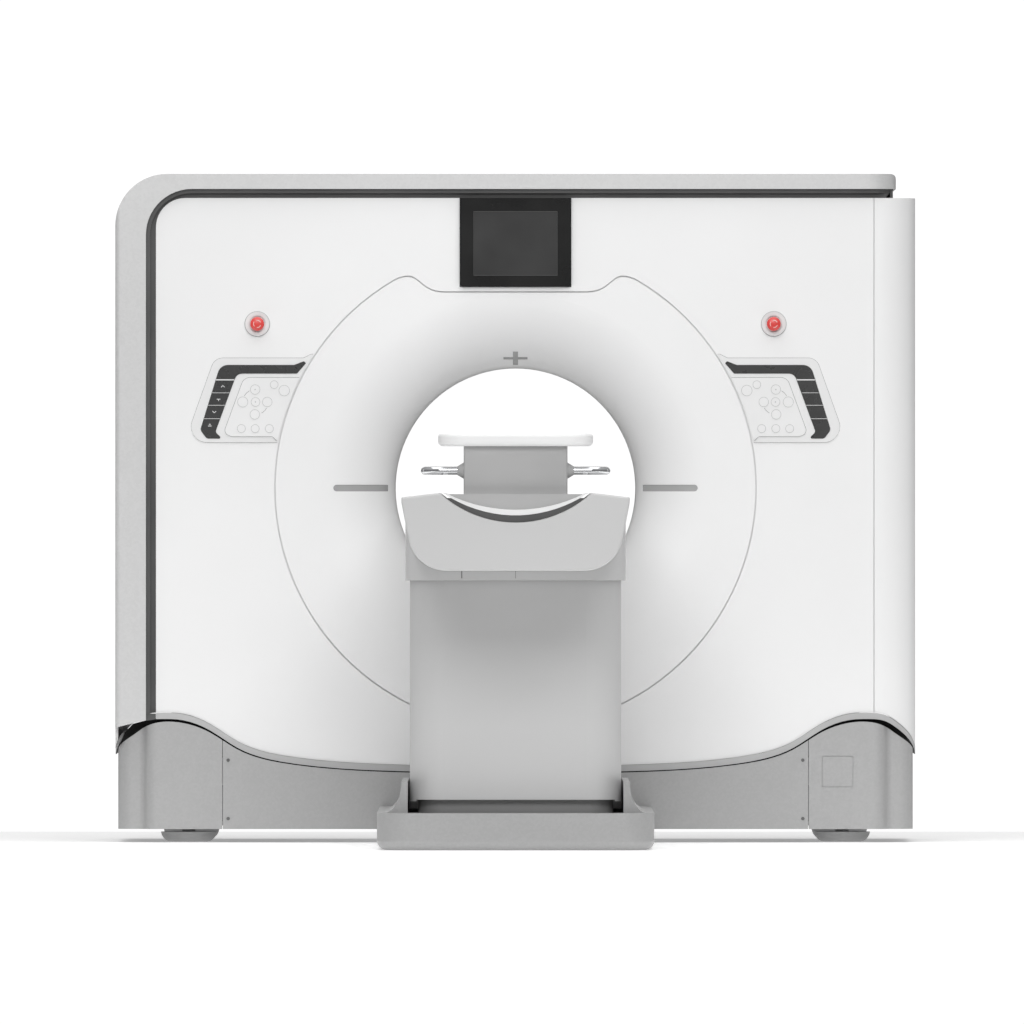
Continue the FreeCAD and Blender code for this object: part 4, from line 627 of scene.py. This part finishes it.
class SCANNER_OT_controls(bpy.types.Operator):
    """Print the outlines and marks of the two control panels, and draw painted shade round the bezels and the key
    domes
    """
    bl_idname = "scanner.controls"
    bl_label = "Control prints"

    def execute(self, context):
        settings = context.scene.scanner_controls
        width, ink = settings.line, settings.ink
        outline_ink = printed("Grey screen-printed ink", "#9a9a9a")
        # painted shade: the pale grey rings at the key domes' edges stand in for the shade round each dome; the same
        # ink draws the dots on two keys
        dome_shade_and_dot_ink = printed("Pale grey ring ink", "#bdbdbd")
        pale_ink = printed("Pale screen-printed ink", "#e4e4e4")
        # painted shade: a grey line round each bezel stands in for the shade at its raised edge
        shadow = printed("Grey line of painted shade round the bezel", "#8c8c8c")
        for word, side in (("left", -1), ("right", 1)):

            def bezel_line(shape):
                outline = mirrored_path(rounded_path(BEZEL), side)
                flat_band(shape, outline, width * BEZEL_LINE, PANEL_FACE - ink * 2, ink)

            def keypad_lines(shape):
                flat_band(shape, mirrored_path(rounded_path(KEYPAD), side), width, KEYPAD_FACE - ink, ink)
                x, z, _ = KEYS[CROSS_KEY]
                for start in ARC_STARTS:
                    arc = circle_path(x * MM, z * MM, ARC_RADIUS * MM, start, start + ARC_TURN, 10)
                    flat_band(shape, mirrored_path(arc, side), width, KEYPAD_FACE - ink, ink)

            # rings of painted shade round the key domes, and the dots
            def key_rings(shape):
                for number, (x, z, radius) in enumerate(KEYS):
                    ring = circle_path(x * MM, z * MM, (radius - KEY_INSET) * MM)[:-1]
                    flat_band(shape, mirrored_path(ring, side), width, KEY_FACE - ink, ink, closed=True)
                    if number in DOTTED_KEYS:
                        dot = circle_path(x * MM, z * MM, DOT_RADIUS * MM, steps=16)[:-1]
                        flat_band(shape, mirrored_path(dot, side), DOT_LINE * MM, KEY_FACE - ink, ink, closed=True)

            def strip_marks(shape):
                for height, wide in SEPARATORS:
                    outer, inner = strip_edges(height)
                    bar = [((outer + BAR_INSET) * MM, height * MM), ((inner - BAR_INSET) * MM, height * MM)]
                    flat_band(shape, mirrored_path(bar, side), wide * MM, STRIP_FACE - ink, ink)
                if side < 0 and settings.marks:
                    for number, height in enumerate(MARK_HEIGHTS):
                        middle = sum(strip_edges(height)) / 2
                        mark_on_strip(shape, middle * MM, height * MM, number, STRIP_FACE - ink, ink)

            new_piece("bezel_outline_" + word, bezel_line, shadow, "stand")
            new_piece("keypad_outline_" + word, keypad_lines, outline_ink, "stand")
            new_piece("key_rings_" + word, key_rings, dome_shade_and_dot_ink, "stand")
            new_piece("strip_marks_" + word, strip_marks, pale_ink, "stand")
        return {"FINISHED"}


# emergency stops, in millimetres and degrees: three arcs on the cap, and the joint round the collar; the arcs stand
# proud of the domed cap by the lift, and are deep enough to meet it all along
TURN_RADIUS, TURN_STARTS, TURN_SWEEP, TURN_LINE = 10.5, (25, 145, 265), 75, 2.0
TURN_LIFT, TURN_DEPTH = 0.4, 1.6
JOINT_RADIUS, JOINT_BEAD, JOINT_LIFT = 36.2, 0.9, 0.4


class SCANNER_OT_stops(bpy.types.Operator):
    """Print the turning arrows' arcs on the two emergency stop caps and seat a ring round each collar"""
    bl_idname = "scanner.stops"
    bl_label = "Emergency stop prints"

    def execute(self, context):
        pale = printed("Pale pad-printed ink", "#f0c9c4")
        seat = printed("Grey joint round collar", "#c0c0c0")
        for word in ("left", "right"):
            low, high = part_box("estop_cap_" + word)
            x, z = (low[0] + high[0]) / 2, (low[2] + high[2]) / 2

            def arcs(shape):
                for start in TURN_STARTS:
                    arc = circle_path(x, z, TURN_RADIUS * MM, start, start + TURN_SWEEP, 14)
                    flat_band(shape, arc, TURN_LINE * MM, low[1] - TURN_LIFT * MM, TURN_DEPTH * MM)

            def joint(shape):
                ring = circle_path(x, z, JOINT_RADIUS * MM)[:-1]
                bead(shape, [(px, PANEL_FACE - JOINT_LIFT * MM, pz) for px, pz in ring], JOINT_BEAD * MM)

            new_piece("stop_arcs_" + word, arcs, pale, "stop_" + word)
            new_piece("stop_joint_" + word, joint, seat, "stand", smooth=True)
        return {"FINISHED"}


# lower edge of the trim along the wave, right half, in millimetres (x, z)
WAVE = ((0, 219), (334, 224), (649, 247), (803, 291), (887, 344), (981, 374), (1014, 375), (1069, 369), (1107, 346),
        (1130, 322), (1141, 296))
# the black sheet behind it, put there as painted shade for the gap: its face, its two edges below the wave, its
# thickness, and its set-back at the corners
SHADE_SHEET_FACE, SHADE_SHEET_TOP, SHADE_SHEET_LOW, SHADE_SHEET_THICK = 720.5, 12, 75, 3
CORNER_START, CORNER_RUN, CORNER_SET_BACK = 1030, 40, 26
# under the hood the black sheet comes up to the hood's edge
HOOD_START, HOOD_TOP, HOOD_CLEAR = -1069, 352, 4
# foot of the dark channel, dark grey as painted shade like the channel; corners in millimetres (x, z), and its
# thickness in metres
STRIP_FOOT, STRIP_FOOT_THICK = ((-1069, 351), (-1040, 355), (-1040, 372), (-1069, 372)), 0.0035


class SCANNER_OT_gap_shade(bpy.types.Operator):
    """Put a black sheet behind the joint between the covers and the base as painted shade for the gap, and the dark
    channel's foot, also painted shade
    """
    bl_idname = "scanner.seal"
    bl_label = "Painted shade in base gap"

    def execute(self, context):
        # painted shade: a black sheet behind the gap stands in for the shade inside the machine
        shade_black = moulded("Black sheet painted as shade in base gap", "#0c0c0c", "#060606", 0.85)

        def gap_shade_sheet(shape):
            sections = []
            for x, z in [(-x, z) for x, z in reversed(WAVE[1:])] + list(WAVE):
                back = min(1.0, max(0.0, (abs(x) - CORNER_START) / CORNER_RUN)) * CORNER_SET_BACK
                front = (SHADE_SHEET_FACE + back) * MM
                top = min(z - HOOD_CLEAR, HOOD_TOP) if x <= HOOD_START else z - SHADE_SHEET_TOP
                low = z - SHADE_SHEET_LOW
                sections.append([(x * MM, front, top * MM), (x * MM, front, low * MM),
                                 (x * MM, front + SHADE_SHEET_THICK * MM, low * MM),
                                 (x * MM, front + SHADE_SHEET_THICK * MM, top * MM)])
            loft(shape, sections)

        def foot(shape):
            loft(shape, [[(x * MM, y, z * MM) for x, z in STRIP_FOOT]
                         for y in (STRIP_FOOT_FACE, STRIP_FOOT_FACE + STRIP_FOOT_THICK)])

        new_piece("base_gap_painted_shade", gap_shade_sheet, shade_black, "stand")
        # painted shade: the channel's foot is dark grey for the shade under the hood's edge
        new_piece("shadow_strip_foot", foot, finish("shadow_grey"), "stand")
        return {"FINISHED"}


# slits in the lift collar: x in metres and width in millimetres, the heights they span and their depth in metres
SLITS, SLIT_LOW, SLIT_HIGH, SLIT_THICK = ((-0.152, 2.2), (0.0, 0.9)), 0.767, 0.788, 0.0002
# line round the screen, in metres: its distance outside the glass, its width, its lift and its thickness
EDGE_OUT, EDGE_LINE, EDGE_LIFT, EDGE_THICK = 0.001, 0.0016, 0.0008, 0.0003


class SCANNER_OT_table_marks(bpy.types.Operator):
    """Draw the two dark slit marks on the lift collar and the frame line of the display"""
    bl_idname = "scanner.table_marks"
    bl_label = "Slits and screen line"

    def execute(self, context):
        dark = printed("Dark slit", "#3c3c3c")
        line_grey = printed("Grey edge of the screen glass", "#4c4c4c")
        collar_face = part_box("lift_collar")[0][1]
        low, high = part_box("display_screen")

        def slits(shape):
            for x, wide in SLITS:
                flat_band(shape, [(x, SLIT_LOW), (x, SLIT_HIGH)], wide * MM, collar_face - SLIT_THICK, SLIT_THICK)

        def screen_line(shape):
            left, right, foot, head = low[0] - EDGE_OUT, high[0] + EDGE_OUT, low[2] - EDGE_OUT, high[2] + EDGE_OUT
            flat_band(shape, [(left, foot), (right, foot), (right, head), (left, head)], EDGE_LINE,
                      low[1] - EDGE_LIFT, EDGE_THICK, closed=True)

        new_piece("collar_slits", slits, dark, "table_top")
        new_piece("screen_line", screen_line, line_grey, "stand")
        return {"FINISHED"}


class SCANNER_OT_studio(bpy.types.Operator):
    """Set up the pale floor, the soft light and the front camera"""
    bl_idname = "scanner.studio"
    bl_label = "Studio"

    def execute(self, context):
        settings = context.scene.scanner_studio
        scene = context.scene

        # a matt white floor that glows faintly, so that it melts into the backdrop; it lies 1 mm under the feet
        half, level = settings.floor_size / 2, -0.001
        floor_mesh = bpy.data.meshes.new("floor")
        floor_mesh.from_pydata([(-half, -half, level), (half, -half, level), (half, half, level),
                                (-half, half, level)], [], [(0, 1, 2, 3)])
        floor = bpy.data.objects.new("floor", floor_mesh)
        scene.collection.objects.link(floor)
        material, tree, place = start_material("Pale studio floor")
        drift = add(tree, "TexNoise", {"Vector": place, "Scale": per_mm(400), "Detail": 2.0})
        tone = add(tree, "ValToRGB", {"Fac": drift.outputs["Fac"]}, tones("#ffffff", "#fdfdfd"))
        shader = add(tree, "BsdfPrincipled", {"Base Color": tone.outputs["Color"], "Roughness": 0.7,
                                              "Emission Color": (1, 1, 1, 1), "Emission Strength": 0.3})
        add(tree, "OutputMaterial", {"Surface": shader.outputs["BSDF"]})
        floor_mesh.materials.append(material)

        # the camera sees a plain white backdrop, and the machine a white room that is brighter overhead
        world = bpy.data.worlds.new("Studio white")
        world.use_nodes = True
        tree = world.node_tree
        tree.nodes.clear()
        seen = add(tree, "LightPath").outputs["Is Camera Ray"]
        upward = add(tree, "SeparateXYZ", {"Vector": add(tree, "TexCoord").outputs["Generated"]}).outputs["Z"]
        height = add(tree, "MapRange", {"Value": upward, "From Min": -0.1, "From Max": 0.9,
                                        "To Min": settings.horizon, "To Max": settings.sky})
        room = add(tree, "Background", {"Color": (1, 1, 1, 1), "Strength": height.outputs["Result"]})
        backdrop = add(tree, "Background", {"Color": (1, 1, 1, 1), "Strength": settings.backdrop})
        mixed = add(tree, "MixShader", {0: seen, 1: room.outputs[0], 2: backdrop.outputs[0]})
        add(tree, "OutputWorld", {"Surface": mixed.outputs[0]})
        scene.world = world

        # softboxes: name, place, power, width and height, and the point that each faces, in metres
        softboxes = (("Top softbox", (0, -1.2, 5.2), settings.top_light, (6, 4), (0, 0.7, 0.9)),
                     ("Front softbox", (0, -8.5, 5.0), settings.front_light, (6, 3), (0, 0.7, 1.5)),
                     ("Left strip light", (-4.6, 1.6, 1.3), settings.side_light, (1.2, 3.0), (0, -0.4, 0.9)),
                     ("Right strip light", (4.6, 1.6, 1.3), settings.side_light, (1.2, 3.0), (0, -0.4, 0.9)))
        for name, place, power, (width, tall), aim in softboxes:
            light = bpy.data.lights.new(name, "AREA")
            light.shape = "RECTANGLE"
            light.energy, light.size, light.size_y = power, width, tall
            lamp = bpy.data.objects.new(name, light)
            lamp.location = place
            lamp.rotation_euler = (Vector(aim) - Vector(place)).to_track_quat("-Z", "Y").to_euler()
            scene.collection.objects.link(lamp)

        # a very long lens far away, since the machine is seen dead on with almost no perspective
        lens = bpy.data.cameras.new("Front camera")
        lens.lens, lens.sensor_width = settings.lens, SENSOR_WIDTH
        distance = VIEW_WIDTH * settings.lens / lens.sensor_width
        lens.clip_start, lens.clip_end = 1.0, distance + CLIP_MARGIN
        camera = bpy.data.objects.new("Front camera", lens)
        camera.location = (VIEW_CENTRE[0], PANEL_FACE - distance, VIEW_CENTRE[1])
        camera.rotation_euler = (math.pi / 2, 0, 0)
        scene.collection.objects.link(camera)
        scene.camera = camera
        scene.view_settings.view_transform = "Standard"
        return {"FINISHED"}


# ---------------------------------------------------------------- panel and registration

class SCANNER_PT_panel(bpy.types.Panel):
    """The scanner's settings and steps"""
    bl_label = "CT scanner"
    bl_space_type = "VIEW_3D"
    bl_region_type = "UI"
    bl_category = "CT scanner"

    def draw(self, context):
        for group, _ in GROUPS:
            settings = getattr(context.scene, group)
            for name in settings.__annotations__:
                self.layout.prop(settings, name)
        for step in STEPS:
            self.layout.operator(step.bl_idname)


GROUPS = (("scanner_colours", ScannerColours), ("scanner_mattress", ScannerMattress),
          ("scanner_controls", ScannerControls), ("scanner_studio", ScannerStudio))
STEPS = (SCANNER_OT_finishes, SCANNER_OT_mattress, SCANNER_OT_controls, SCANNER_OT_stops, SCANNER_OT_gap_shade,
         SCANNER_OT_table_marks, SCANNER_OT_studio)


def register():
    for _, group in GROUPS:
        bpy.utils.register_class(group)
    for step in STEPS:
        bpy.utils.register_class(step)
    bpy.utils.register_class(SCANNER_PT_panel)
    for name, group in GROUPS:
        setattr(bpy.types.Scene, name, bpy.props.PointerProperty(type=group))


def unregister():
    for name, _ in GROUPS:
        delattr(bpy.types.Scene, name)
    bpy.utils.unregister_class(SCANNER_PT_panel)
    for step in reversed(STEPS):
        bpy.utils.unregister_class(step)
    for _, group in reversed(GROUPS):
        bpy.utils.unregister_class(group)


def main():
    """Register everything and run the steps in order."""
    register()
    for step in STEPS:
        area, name = step.bl_idname.split(".")
        getattr(getattr(bpy.ops, area), name)()


if __name__ == "__main__":
    main()
